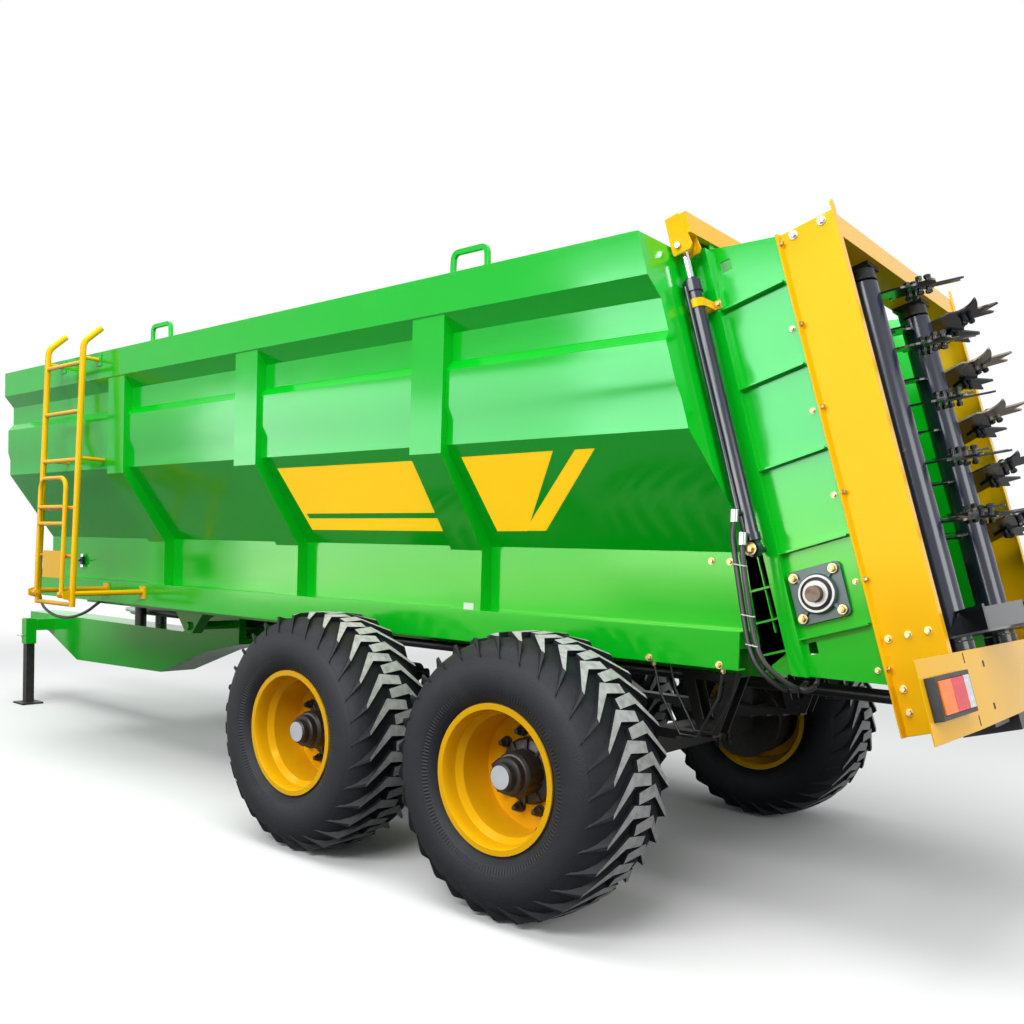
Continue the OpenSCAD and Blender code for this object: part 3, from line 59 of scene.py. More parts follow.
BACKDROP, BACKDROP_LIGHT = (0.82, 0.82, 0.82), (0.85, 0.85, 0.85)
BOUNCE = (0.07, 0.07, 0.07)      # what the sweep throws back at the object, dimmed so that shade stays deep
MIRRORED = 0.7                   # how far the same dimming reaches what gloss mirrors near the wheels
FLOOR_HALF = 60.0                # half side of the floor sheet
FADE_FROM, FADE_TO = 5.5, 12.0   # where the floor turns to plain white, from the middle
WORLD_FILL = 0.5                 # strength of the even light from all round


def shader(name):
    """A new material with an empty node tree."""
    material = bpy.data.materials.new(name)
    material.use_nodes = True
    material.node_tree.nodes.clear()
    return material, material.node_tree


def node(tree, kind, inputs=None, **props):
    """Adds one shader or geometry node; inputs maps socket name or index to a value or a socket."""
    made = tree.nodes.new(kind)
    for key, value in props.items():
        setattr(made, key, value)
    for key, value in (inputs or {}).items():
        if isinstance(value, bpy.types.NodeSocket):
            tree.links.new(value, made.inputs[key])
        else:
            made.inputs[key].default_value = value
    return made


def spot(tree):
    """Where a point lies, in the machine's own metres."""
    return node(tree, "ShaderNodeTexCoord").outputs["Object"]


def calc(tree, operation, *values, clamp=False):
    """One step of arithmetic on numbers or sockets."""
    return node(tree, "ShaderNodeMath", dict(enumerate(values)), operation=operation,
                use_clamp=clamp).outputs[0]


def span(tree, value, source=(0.0, 1.0), result=(0.0, 1.0), smooth=False):
    """A value stretched from the source range to the result range and held at its ends."""
    ends = {"From Min": source[0], "From Max": source[1], "To Min": result[0], "To Max": result[1]}
    return node(tree, "ShaderNodeMapRange", {"Value": value, **ends},
                interpolation_type="SMOOTHSTEP" if smooth else "LINEAR").outputs["Result"]


def blend(tree, factor, first, second):
    """A mix of two colours, each given as red, green and blue or as a socket."""
    first, second = (c if isinstance(c, bpy.types.NodeSocket) else (*c, 1.0) for c in (first, second))
    return node(tree, "ShaderNodeMix", {"Factor": factor, 6: first, 7: second}, data_type="RGBA").outputs[2]


def noise(tree, at, scale, detail=2.0, rough=0.5):
    """Cloudy patches between 0 and 1; a larger scale makes them smaller."""
    return node(tree, "ShaderNodeTexNoise", {"Vector": at, "Scale": scale, "Detail": detail,
                                             "Roughness": rough}).outputs["Fac"]


def seen_plainly(tree):
    """1 for what the camera, gloss and glass see, and 0 for the light that falls on the object."""
    path = node(tree, "ShaderNodeLightPath").outputs
    seen = calc(tree, "MAXIMUM", path["Is Camera Ray"], path["Is Glossy Ray"])
    return calc(tree, "MAXIMUM", seen, path["Is Transmission Ray"])


def sweep_material():
    """Matt sweep that turns plain white far out and sends little light back to the object."""
    material, tree = shader("sweep")
    place = spot(tree)
    away = node(tree, "ShaderNodeVectorMath", {0: place}, operation="LENGTH").outputs["Value"]
    share = calc(tree, "MULTIPLY", span(tree, away, (FADE_FROM, FADE_TO), smooth=True), seen_plainly(tree))
    tone = blend(tree, noise(tree, place, 0.6), BACKDROP, BACKDROP_LIGHT)
    path = node(tree, "ShaderNodeLightPath").outputs
    dimmed = calc(tree, "MULTIPLY", path["Is Glossy Ray"], MIRRORED)
    dimmed = calc(tree, "MAXIMUM", dimmed, path["Is Diffuse Ray"])
    matt = node(tree, "ShaderNodeBsdfDiffuse", {"Color": blend(tree, dimmed, tone, BOUNCE)}).outputs[0]
    white = node(tree, "ShaderNodeEmission", {"Color": (1, 1, 1, 1), "Strength": 1.0}).outputs[0]
    both = node(tree, "ShaderNodeMixShader", {0: share, 1: matt, 2: white}).outputs[0]
    node(tree, "ShaderNodeOutputMaterial", {"Surface": both})
    return material


def added(name, data):
    """A new object in the scene, at the origin."""
    made = bpy.data.objects.new(name, data)
    bpy.context.scene.collection.objects.link(made)
    return made


def flat(name, quads, material):
    """Flat pieces, each given by its four corners."""
    corners = [tuple(at) for quad in quads for at in quad]
    mesh = bpy.data.meshes.new(name)
    mesh.from_pydata(corners, [], [range(first, first + 4) for first in range(0, len(corners), 4)])
    mesh.materials.append(material)
    return added(name, mesh)


floor = flat("floor", [[(x * FLOOR_HALF, y * FLOOR_HALF, 0) for x, y in ((-1, -1), (1, -1), (1, 1), (-1, 1))]],
             sweep_material())

world = bpy.data.worlds.new("studio")
world.use_nodes = True
bpy.context.scene.world = world
sky = world.node_tree
sky.nodes.clear()
fill = node(sky, "ShaderNodeBackground", {"Color": (0.96, 0.98, 1.0, 1.0), "Strength": WORLD_FILL})
plain = node(sky, "ShaderNodeBackground", {"Color": (1, 1, 1, 1), "Strength": 1.0})
mixed = node(sky, "ShaderNodeMixShader", {0: seen_plainly(sky), 1: fill.outputs[0], 2: plain.outputs[0]})
node(sky, "ShaderNodeOutputWorld", {"Surface": mixed.outputs[0]})


def softbox(name, place, aim, size, power, card=False):
    """A rectangular area lamp at place that faces aim; a card lights nothing but gloss."""
    lamp = bpy.data.lights.new(name, "AREA")
    lamp.shape = "RECTANGLE"
    lamp.size, lamp.size_y = size
    lamp.energy = power
    holder = added(name, lamp)
    holder.location = place
    holder.rotation_euler = (Vector(aim) - Vector(place)).to_track_quat("-Z", "Y").to_euler()
    holder.visible_diffuse = not card


softbox("softbox_top", (0.0, 1.8, 9.0), (0.0, 0.5, 0.0), (11.0, 6.0), 820)
softbox("softbox_left", (-3.0, 9.0, 7.2), (0.0, 0.0, 1.6), (8.0, 2.5), 640)
softbox("softbox_rear", (-10.5, 1.5, 4.0), (-2.5, 0.0, 1.6), (4.0, 3.5), 240)
softbox("card_side", (-1.2, 9.5, 3.4), (-1.2, 0.0, 2.4), (9.0, 4.4), 950, card=True)
softbox("card_front", (6.8, 9.2, 2.3), (-1.2, 0.8, 1.7), (6.5, 3.4), 300, card=True)

# The camera stands behind and to the left, at a standing person's chest height,
# and looks forward past the rear wheels.
CAMERA_PLACE = (-5.158, 4.173, 1.459)
CAMERA_FORWARD = Vector((0.6368, -0.7702, -0.0363))
CAMERA_UP = Vector((0.0471, -0.0081, 0.9989))
FOCAL_LENGTH, FILM_WIDTH = 33.87, 36.0      # millimetres
LENS_SHIFT = (-0.0123, 0.0775)
FARTHEST = 300.0

optics = bpy.data.cameras.new("camera")
optics.lens = FOCAL_LENGTH
optics.sensor_width = FILM_WIDTH
optics.shift_x, optics.shift_y = LENS_SHIFT
optics.clip_end = FARTHEST
camera = added("camera", optics)
camera_right = CAMERA_FORWARD.cross(CAMERA_UP).normalized()
camera_up = camera_right.cross(CAMERA_FORWARD).normalized()
turn = Matrix((camera_right, camera_up, -CAMERA_FORWARD.normalized())).transposed()
camera.matrix_world = Matrix.Translation(CAMERA_PLACE) @ turn.to_4x4()
bpy.context.scene.camera = camera
bpy.context.scene.view_settings.view_transform = "Standard"


# ------------------------------------------------------------------ hopper
# Walls of 5 mm sheet, pressed and folded, with box ribs welded on outside and a
# folded top rail. All of it is sprayed in one glossy green enamel after welding.

GREEN = (0.0, 0.54, 0.014)
GREEN_PAINTED_SKY_SHEEN = (0.52, 1.0, 0.76)       # painted reflection tint, green like the paint and mint high up, standing in for sky
GREEN_PAINTED_GROUND_SHEEN = (0.62, 1.0, 0.32)   # painted reflection tint, lime low down, standing in for the ground
PAINTED_SHEEN_TURNS = (1.35, 1.95)            # the painted reflection tint turns between these heights
DUST, DUST_TOP = (0.16, 0.14, 0.11), 1.3
WELD_GAP = 2e-5                       # corners closer than this are one corner
FLAT_TURN = math.radians(0.5)         # faces that turn less than this are one face


def bumps(tree, height, strength, distance):
    """A surface's fine relief; distance is its depth in metres."""
    return node(tree, "ShaderNodeBump", {"Height": height, "Strength": strength,
                                         "Distance": distance}).outputs[0]


def coated(material, inputs):
    """Ends a material with one surface made of the inputs."""
    face = node(material.node_tree, "ShaderNodeBsdfPrincipled", inputs)
    node(material.node_tree, "ShaderNodeOutputMaterial", {"Surface": face.outputs[0]})
    return material


def enamel(name, colour, rough=0.2, sheen=(1.0, 1.0, 1.0), level=0.5, peel=0.03, dust=0.05, painted_ground_sheen=None):
    """Sprayed enamel: gloss over faint orange peel, patchy tone, wiped smears and a little dust low down;
    given a low sheen, the gloss tint is a painted reflection that turns with height.
    """
    material, tree = shader(name)
    place = spot(tree)
    patch = noise(tree, place, 1.3, 3.0)
    speck = noise(tree, place, 38.0, 4.0)
    orange = noise(tree, place, 260.0, 1.0)
    wiped = node(tree, "ShaderNodeMapping", {"Vector": place, "Scale": (1.2, 1.2, 7.0)}).outputs[0]
    wiped = noise(tree, wiped, 1.6, 5.0, 0.65)
    deep = tuple(0.90 * c for c in colour)
    light = tuple(min(1.0, 1.06 * c + 0.002) for c in colour)
    height = node(tree, "ShaderNodeSeparateXYZ", {0: place}).outputs["Z"]
    low = span(tree, height, (0.1, DUST_TOP), (1.0, 0.0))
    grime = calc(tree, "MULTIPLY", calc(tree, "MULTIPLY", low, speck), dust)
    gloss = span(tree, wiped, (0.35, 0.75), (rough * 0.75, rough * 1.25))
    # Painted reflection: with a low sheen given, the gloss tint turns from it low down to the sheen high up,
    # standing in for ground and sky.
    tint = (*sheen, 1.0)
    if painted_ground_sheen:
        tint = blend(tree, span(tree, height, PAINTED_SHEEN_TURNS), painted_ground_sheen, sheen)
    return coated(material, {"Base Color": blend(tree, grime, blend(tree, patch, deep, light), DUST),
                             "Roughness": calc(tree, "ADD", gloss, grime),
                             "Normal": bumps(tree, orange, peel, 0.002),
                             "Specular Tint": tint, "Specular IOR Level": level})


def eased(name, paint, ease=0.0015, corner=32, extra=()):
    """Stands for one solid: its mesh merged, its round faces smoothed and its corners eased."""
    body = next(b for b, held in frame["record"]["behaviour"]["bodies"].items() if name in held)
    mesh = nodes[name].data.copy()
    bm = bmesh.new()
    bm.from_mesh(mesh)
    bmesh.ops.remove_doubles(bm, verts=bm.verts, dist=WELD_GAP)
    bmesh.ops.dissolve_limit(bm, angle_limit=FLAT_TURN, verts=bm.verts, edges=bm.edges)
    for face in bm.faces:
        face.smooth = True
    for edge in bm.edges:
        edge.smooth = len(edge.link_faces) == 2 and edge.calc_face_angle(0) < math.radians(corner)
    bm.to_mesh(mesh)
    bm.free()
    mesh.materials.clear()
    for material in (paint, *extra):
        mesh.materials.append(material)
    piece = added(name + "_finished", mesh)
    if ease:
        bevel = piece.modifiers.new("ease", "BEVEL")
        bevel.width = ease
        bevel.segments = 2
        bevel.limit_method = "ANGLE"
        bevel.angle_limit = math.radians(corner)
        bevel.harden_normals = True
        bevel.use_clamp_overlap = True
    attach(piece, body)
    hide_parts(name)
    return piece


# The green's gloss tint is a painted reflection, lime low down and mint high up.
green = enamel("green_enamel", GREEN, 0.14, GREEN_PAINTED_SKY_SHEEN, 0.6, painted_ground_sheen=GREEN_PAINTED_GROUND_SHEEN)
for name in ("hopper_left", "hopper_right", "hopper_front", "floor_panel"):
    eased(name, green, 0.0025)
eased("lifting_lugs", green, 0.004)

# ------------------------------------------------------------------ slope films
# Self-adhesive yellow film cut to plain blocks and stripes and laid on the sloping
# lower panel of the left wall. The maker's words are left off.

FILM = (0.98, 0.58, 0.008)
FILM_PALE = (0.93, 0.54, 0.006)
FILM_LIFT, FILM_THICK = 0.0006, 0.0004
SLOPE_FOOT = Vector((0.0, 0.755, 1.5))      # the slope's lower and upper edges, seen from behind
SLOPE_HEAD = Vector((0.0, 1.077, 1.945))
AXLE_X = -2.6814                            # rear axle from the middle of the machine


def film_material():
    """Glossy vinyl film, faintly waved, with a painted glow that keeps it bright in shade."""
    material, tree = shader("yellow_film")
    place = spot(tree)
    grain, wave = noise(tree, place, 90.0, 3.0), noise(tree, place, 3.0, 2.0)
    tone = blend(tree, wave, FILM_PALE, FILM)
    # The emission is a painted glow, lifting the film where it lies in shade.
    return coated(material, {"Base Color": tone, "Roughness": span(tree, grain, result=(0.24, 0.36)),
                             "Normal": bumps(tree, grain, 0.03, 0.001), "Specular IOR Level": 0.3,
                             "Emission Color": tone, "Emission Strength": 0.65})


def film(name, outline, material):
    """A film on the slope; outline holds distances ahead of the rear axle and heights."""
    up = (SLOPE_HEAD - SLOPE_FOOT)
    out_of = Vector((0.0, up.z, -up.y)).normalized()
    bm = bmesh.new()
    corners = []
    for ahead, height in outline:
        at = SLOPE_FOOT + up * ((height - SLOPE_FOOT.z) / up.z)
        corners.append(bm.verts.new(Vector((AXLE_X + ahead, at.y, at.z)) + FILM_LIFT * out_of))
    face = bm.faces.new(corners)
    if face.normal.dot(out_of) < 0:
        face.normal_flip()
    mesh = bpy.data.meshes.new(name)
    bm.normal_update()
    solid = bmesh.ops.extrude_face_region(bm, geom=[face])
    for vertex in (v for v in solid["geom"] if isinstance(v, bmesh.types.BMVert)):
        vertex.co -= FILM_THICK * out_of
    bmesh.ops.recalc_face_normals(bm, faces=bm.faces)
    bm.to_mesh(mesh)
    bm.free()
    mesh.materials.append(material)
    piece = added(name, mesh)
    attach(piece, "chassis")


yellow_film = film_material()
film("film_block", [(1.861, 1.888), (0.773, 1.888), (0.806, 1.656), (1.822, 1.656), (1.82, 1.630),
                    (0.808, 1.630), (0.809, 1.570), (1.846, 1.570)], yellow_film)
film("film_stripe_wide", [(0.504, 1.892), (-0.015, 1.896), (0.300, 1.574), (0.480, 1.572)], yellow_film)
film("film_stripe_narrow", [(-0.129, 1.896), (-0.226, 1.896), (0.191, 1.576), (0.312, 1.576)], yellow_film)

# ------------------------------------------------------------------ fixings
# Zinc-plated hexagon bolts and nuts on turned washers. They are pressed cold from bar,
# and every bolted joint below takes its own from here.


RUST = (0.19, 0.075, 0.028)
HEX_CORNER = 0.57735             # a hexagon's corner from its middle, for one metre across flats
CROWN_TOP, CROWN_HIGH = 0.88, 0.2                # the chamfer's top width and height, as shares
FULL_TURN = 6.28                 # heads are turned at random by up to this


def metal(name, colour, rough=0.3, wear=0.35, rust=0.0):
    """Plated or bare steel: brushed grain, patchy gloss and, with rust, brown bloom in spots."""
    material, tree = shader(name)
    place = spot(tree)
    patch = noise(tree, place, 9.0, 5.0)
    grain = noise(tree, place, 320.0, 2.0)
    dull = tuple(0.72 * c for c in colour)
    bloom = span(tree, patch, (0.5, 0.7), (0.0, rust))
    gloss = span(tree, patch, (0.3, 0.7), (rough, rough + wear * 0.4))
    return coated(material, {"Base Color": blend(tree, bloom, blend(tree, patch, dull, colour), RUST),
                             "Metallic": calc(tree, "SUBTRACT", 1.0, bloom, clamp=True),
                             "Roughness": calc(tree, "ADD", gloss, bloom, clamp=True),
                             "Normal": bumps(tree, grain, 0.12, 0.0006)})


def fixing_tree():
    """Geometry Nodes: a hexagon head or nut on a washer at every point, along that point's axis."""
    tree = bpy.data.node_groups.new("hex_fixings", "GeometryNodeTree")
    face = tree.interface
    face.new_socket(name="Spots", in_out="INPUT", socket_type="NodeSocketGeometry")
    for title, size in (("Across Flats", 0.019), ("Head Height", 0.008), ("Washer Width", 0.03),
                        ("Washer Height", 0.003), ("Thread Width", 0.012), ("Thread Height", 0.0)):
        face.new_socket(name=title, in_out="INPUT", socket_type="NodeSocketFloat").default_value = size
    face.new_socket(name="Seed", in_out="INPUT", socket_type="NodeSocketInt").default_value = 4
    face.new_socket(name="Finish", in_out="INPUT", socket_type="NodeSocketMaterial")
    face.new_socket(name="Fixings", in_out="OUTPUT", socket_type="NodeSocketGeometry")
    given = tree.nodes.new("NodeGroupInput").outputs

    def half(value):
        return calc(tree, "MULTIPLY", value, 0.5)

    def raised(mesh, height):
        lift = node(tree, "ShaderNodeCombineXYZ", {"Z": height}).outputs[0]
        return node(tree, "GeometryNodeTransform", {"Geometry": mesh, "Translation": lift}).outputs[0]

    corner = calc(tree, "MULTIPLY", given["Across Flats"], HEX_CORNER)
    top = calc(tree, "MULTIPLY", corner, CROWN_TOP)
    step = calc(tree, "MULTIPLY", given["Head Height"], CROWN_HIGH)
    over = calc(tree, "ADD", given["Washer Height"], given["Head Height"])
    washer = node(tree, "GeometryNodeMeshCylinder", {"Vertices": 20, "Radius": half(given["Washer Width"]),
                                                     "Depth": given["Washer Height"]}).outputs["Mesh"]
    head = node(tree, "GeometryNodeMeshCylinder", {"Vertices": 6, "Radius": corner,
                                                   "Depth": given["Head Height"]}).outputs["Mesh"]
    crown = node(tree, "GeometryNodeMeshCone", {"Vertices": 6, "Radius Top": top, "Radius Bottom": corner,
                                                "Depth": step}).outputs["Mesh"]
    thread = node(tree, "GeometryNodeMeshCylinder", {"Vertices": 12, "Radius": half(given["Thread Width"]),
                                                     "Depth": given["Thread Height"]}).outputs["Mesh"]
    middle = calc(tree, "ADD", given["Washer Height"], half(given["Head Height"]))
    high = calc(tree, "ADD", over, half(given["Thread Height"]))
    one = node(tree, "GeometryNodeJoinGeometry")
    for part in (raised(washer, half(given["Washer Height"])), raised(head, middle), raised(crown, over),
                 raised(thread, high)):
        tree.links.new(part, one.inputs[0])
    axis = node(tree, "GeometryNodeInputNamedAttribute", {"Name": "axis"}, data_type="FLOAT_VECTOR")
    aim = node(tree, "FunctionNodeAlignRotationToVector", {"Vector": axis.outputs["Attribute"]}, axis="Z")
    spin = node(tree, "FunctionNodeRandomValue", {"Seed": given["Seed"]}, data_type="FLOAT")
    spin.inputs[3].default_value = FULL_TURN
    own = node(tree, "FunctionNodeAxisAngleToRotation", {"Axis": (0, 0, 1), "Angle": spin.outputs[1]})
    aim = node(tree, "FunctionNodeRotateRotation", {"Rotation": aim.outputs[0], "Rotate By": own.outputs[0]},
               rotation_space="LOCAL")
    placed = node(tree, "GeometryNodeInstanceOnPoints", {"Points": given["Spots"], "Instance": one.outputs[0],
                                                         "Rotation": aim.outputs[0]})
    real = node(tree, "GeometryNodeRealizeInstances", {"Geometry": placed.outputs[0]})
    done = node(tree, "GeometryNodeSetMaterial", {"Geometry": real.outputs[0], "Material": given["Finish"]})
    node(tree, "NodeGroupOutput", {"Fixings": done.outputs[0]})
    return tree


hex_fixings = fixing_tree()


def grown(name, tree, mesh, body, sizes):
    """A plain mesh grown from mesh by a Geometry Nodes tree; sizes fills the tree's named inputs."""
    source = added(name, mesh)
    grow = source.modifiers.new("grow", "NODES")
    grow.node_group = tree
    for item in tree.interface.items_tree:
        if item.in_out == "INPUT" and item.name in sizes:
            grow[item.identifier] = sizes[item.name]
    depsgraph = bpy.context.evaluated_depsgraph_get()
    made = bpy.data.meshes.new_from_object(source.evaluated_get(depsgraph))
    source.modifiers.clear()
    source.data = made
    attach(source, body)


def fixings(name, spots, finish, body="chassis", **sizes):
    """Bolts or nuts at (point, axis) spots, in metres."""
    mesh = bpy.data.meshes.new(name)
    mesh.from_pydata([tuple(at) for at, axis in spots], [], [])
    axes = mesh.attributes.new("axis", "FLOAT_VECTOR", "POINT")
    for slot, (at, axis) in zip(axes.data, spots):
        slot.vector = Vector(axis).normalized()
    titles = {key.replace("_", " ").title(): value for key, value in sizes.items()}
    grown(name, hex_fixings, mesh, body, {"Finish": finish, **titles})


yellow_zinc = metal("yellow_zinc", (0.56, 0.42, 0.20), 0.30)
bright_zinc = metal("bright_zinc", (0.56, 0.57, 0.58), 0.26)

# ------------------------------------------------------------------ floor conveyor
# Two endless chains carry T-bar slats over the floor. Links, slats and sprockets are
# rolled steel, left bare and lightly rusted, on a drive shaft behind and an idler in front.

rolled_steel = metal("rolled_steel", (0.34, 0.33, 0.32), 0.42, rust=0.45)
for name in ("floor_chain", "floor_slats"):
    eased(name, rolled_steel, 0.001)
eased("floor_shaft", metal("shaft_steel", (0.15, 0.115, 0.09), 0.5, rust=0.8), 0.002)


# ------------------------------------------------------------------ chassis
# Folded sills along both sides, two box rails and crossmembers under the floor, all
# welded to the hopper and painted with it.

for name in ("sills", "chassis_rails", "crossmembers"):
    eased(name, green, 0.002)


# ------------------------------------------------------------------ tandem running gear
# Leaf springs rock on cast hangers and an equalizing beam, and U-bolts clamp the square
# axle tubes to them. All of it is sprayed satin black.

black = enamel("black_enamel", (0.011, 0.011, 0.013), rough=0.34, level=0.35, dust=0.3)
for name in ("spring_hangers", "springs", "axles", "brakes"):
    eased(name, black, 0.002)

WHEELS = ("front_left", "rear_left", "front_right", "rear_right")
wheel_middle = {}
for wheel in WHEELS:
    low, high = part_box("rim_" + wheel)
    wheel_middle[wheel] = (low + high) / 2
AXLE_TUBE = 0.11                 # side of the square axle tube
SPRING_SIDE = 0.45               # springs lie this far from the middle
EYE_RISE = 0.08                  # a spring's eyes stand this far above its middle
U_BOLT_D, U_BOLT_BEND = 0.018, 0.02
U_BOLT_REACH = 0.052             # half the width over which a U-bolt straddles the spring
U_BOLT_APART = 0.062             # a U-bolt's distance ahead of or behind the axle
U_BOLT_OVER, U_BOLT_UNDER = 0.012, 0.035         # how far it passes the spring and the axle
CLAMP_PLATE = 0.012              # thickness of the plate under the axle
BEND_STEPS = 8


def rods(name, runs, width, material, body="chassis"):
    """Round bars that follow runs of points."""
    curve = bpy.data.curves.new(name, "CURVE")
    curve.dimensions = "3D"
    curve.bevel_depth = width / 2
    curve.bevel_resolution = 2
    curve.use_fill_caps = True
    for run in runs:
        spline = curve.splines.new("POLY")
        spline.points.add(len(run) - 1)
        for slot, at in zip(spline.points, run):
            slot.co = (*at, 1.0)
    bent = added(name, curve)
    depsgraph = bpy.context.evaluated_depsgraph_get()
    mesh = bpy.data.meshes.new_from_object(bent.evaluated_get(depsgraph))
    bpy.data.objects.remove(bent)
    for polygon in mesh.polygons:
        polygon.use_smooth = True
    mesh.materials.clear()
    mesh.materials.append(material)
    piece = added(name, mesh)
    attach(piece, body)


u_bolts, u_bolt_nuts = [], []
bolt_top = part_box("springs")[1].z - EYE_RISE + U_BOLT_OVER - U_BOLT_BEND
for wheel, side, ahead in product(("front_left", "rear_left"), (-1, 1), (-U_BOLT_APART, U_BOLT_APART)):
    x, y = wheel_middle[wheel].x + ahead, side * SPRING_SIDE
    under = wheel_middle[wheel].z - AXLE_TUBE / 2
    bend = [(x, y + U_BOLT_REACH * math.cos(a), bolt_top + U_BOLT_BEND * math.sin(a))
            for a in [math.pi * k / BEND_STEPS for k in range(BEND_STEPS + 1)]]
    u_bolts.append([(x, y + U_BOLT_REACH, under - U_BOLT_UNDER), *bend,
                    (x, y - U_BOLT_REACH, under - U_BOLT_UNDER)])
    u_bolt_nuts += [((x, y + reach, under - CLAMP_PLATE), (0, 0, -1))
                    for reach in (-U_BOLT_REACH, U_BOLT_REACH)]
rods("u_bolts", u_bolts, U_BOLT_D, black)
fixings("u_bolt_nuts", u_bolt_nuts, black, across_flats=0.03, head_height=0.018, washer_width=0.036,
        thread_width=U_BOLT_D, thread_height=0.004)

# ------------------------------------------------------------------ wheels
# Wide flotation tyres with curved chevron lugs on yellow dished steel discs. Ten cone
# nuts hold each disc to a black cast hub that ends in a turned cap.


TYRE_R, RIM_R = 0.578, 0.3
MOULD_RINGS = ((RIM_R + 0.028, 0.0022), (RIM_R + 0.075, 0.0016),
               (TYRE_R * 0.8, 0.0028), (TYRE_R * 0.845, 0.0016))
BEAD_RIBS, BEAD_R, BEAD_HALF = 150.0, RIM_R + 0.052, 0.012       # fine ribs in a ring by the bead
RUBBER_DARK, RUBBER_LIGHT = (0.004, 0.005, 0.008), (0.013, 0.015, 0.020)
# After the two rubber tones: a pale grey that is a painted highlight for the lugs' tops, then dust.
RUBBER_PAINTED_HIGHLIGHT, RUBBER_DUST = (0.46, 0.46, 0.465), (0.20, 0.19, 0.17)


def tyre_rubber(name, middle, highlit=False):
    """Rubber round one wheel: mould rings, fine ribs by the bead, dust in patches; the second kind, for the
    tops of the lugs, is pale in patches as a painted highlight.
    """
    material, tree = shader(name)
    place = spot(tree)
    own = node(tree, "ShaderNodeMapping", {"Vector": place, "Location": tuple(-c for c in middle)}).outputs[0]
    split = node(tree, "ShaderNodeSeparateXYZ", {0: own}).outputs
    wheel_plane = node(tree, "ShaderNodeCombineXYZ", {"X": split["X"], "Z": split["Z"]}).outputs[0]
    radius = node(tree, "ShaderNodeVectorMath", {0: wheel_plane}, operation="LENGTH").outputs["Value"]
    angle = calc(tree, "ARCTAN2", split["Z"], split["X"])
    patch = noise(tree, own, 5.0, 6.0, 0.62)
    fine = noise(tree, own, 160.0, 3.0)
    highlight_patches = noise(tree, own, 30.0, 5.0)
    tone = blend(tree, patch, RUBBER_DARK, RUBBER_LIGHT)
    # Painted highlight: the lugs' flat tops turned pale grey in patches, standing in for the light they catch.
    if highlit:
        tone = blend(tree, span(tree, highlight_patches, (0.25, 0.6), (0.6, 1.0)), tone, RUBBER_PAINTED_HIGHLIGHT)
    lines = None
    for at, width in MOULD_RINGS:
        pulse = calc(tree, "COMPARE", radius, at, width)
        lines = pulse if lines is None else calc(tree, "MAXIMUM", lines, pulse)
    ribs = calc(tree, "SINE", calc(tree, "MULTIPLY", angle, BEAD_RIBS))
    ribs = calc(tree, "MULTIPLY", ribs, calc(tree, "COMPARE", radius, BEAD_R, BEAD_HALF))
    relief = calc(tree, "MULTIPLY_ADD", fine, 0.35, calc(tree, "MULTIPLY_ADD", ribs, 0.4, lines))
    dust = span(tree, patch, (0.55, 0.8), (0.0, 0.08))
    return coated(material, {"Base Color": blend(tree, dust, tone, RUBBER_DUST),
                             "Roughness": span(tree, patch, result=(0.46, 0.70)),
                             "Normal": bumps(tree, relief, 0.7, 0.004), "Specular IOR Level": 0.22})


YELLOW_SHEEN = (1.0, 0.74, 0.12)
yellow = enamel("yellow_enamel", (0.95, 0.50, 0.002), 0.2, YELLOW_SHEEN, 0.38)
paper = enamel("tag_paper", (0.82, 0.82, 0.80), rough=0.6, level=0.3, peel=0.02)
TREAD_HALF, CROWN_HALF, SHOULDER_DROP = 0.185, 0.07, 0.013
LUG_FACE = 0.006                 # how far below the crown a lug's top may lie
DISC_Y = 0.04                    # the disc's outer face lies this far inboard of the tyre's middle
CAP_Y, CAP_R = 0.163, 0.047      # the hub cap's end
cap_disc = metal("cap_disc", (0.34, 0.35, 0.36), 0.45)


def repaint(piece, chosen):
    """Gives a piece's faces other material slots: chosen maps a face's middle and normal to a slot."""
    for polygon in piece.data.polygons:
        polygon.material_index = chosen(polygon.center, polygon.normal)


def lug_tops(middle):
    """Slot 1 for the tops of the lugs, which follow the tread's crown; they take the painted highlight."""
    def zone(at, normal):
        off = at - middle
        reach = math.hypot(off.x, off.z)
        crown = TYRE_R - SHOULDER_DROP * max(0.0, abs(off.y) - CROWN_HALF) / (TREAD_HALF - CROWN_HALF)
        outward = (normal.x * off.x + normal.z * off.z) / reach
        return 1 if abs(off.y) < TREAD_HALF and reach > crown - LUG_FACE and outward > 0.6 else 0
    return zone


def cap_end(middle):
    """Slot 1 for the turned end of the hub cap."""
    def zone(at, normal):
        off = at - middle
        return int(abs(off.y) > CAP_Y and math.hypot(off.x, off.z) < CAP_R)
    return zone


# Valve stem's bends: how far ahead of the wheel's middle, out of the disc and above the middle
STEM = ((-0.055, 0.002, -0.225), (-0.055, 0.022, -0.227), (-0.056, 0.042, -0.240), (-0.058, 0.058, -0.262))
STEM_D, CAP_D, CAP_LENGTH = 0.009, 0.012, 0.014

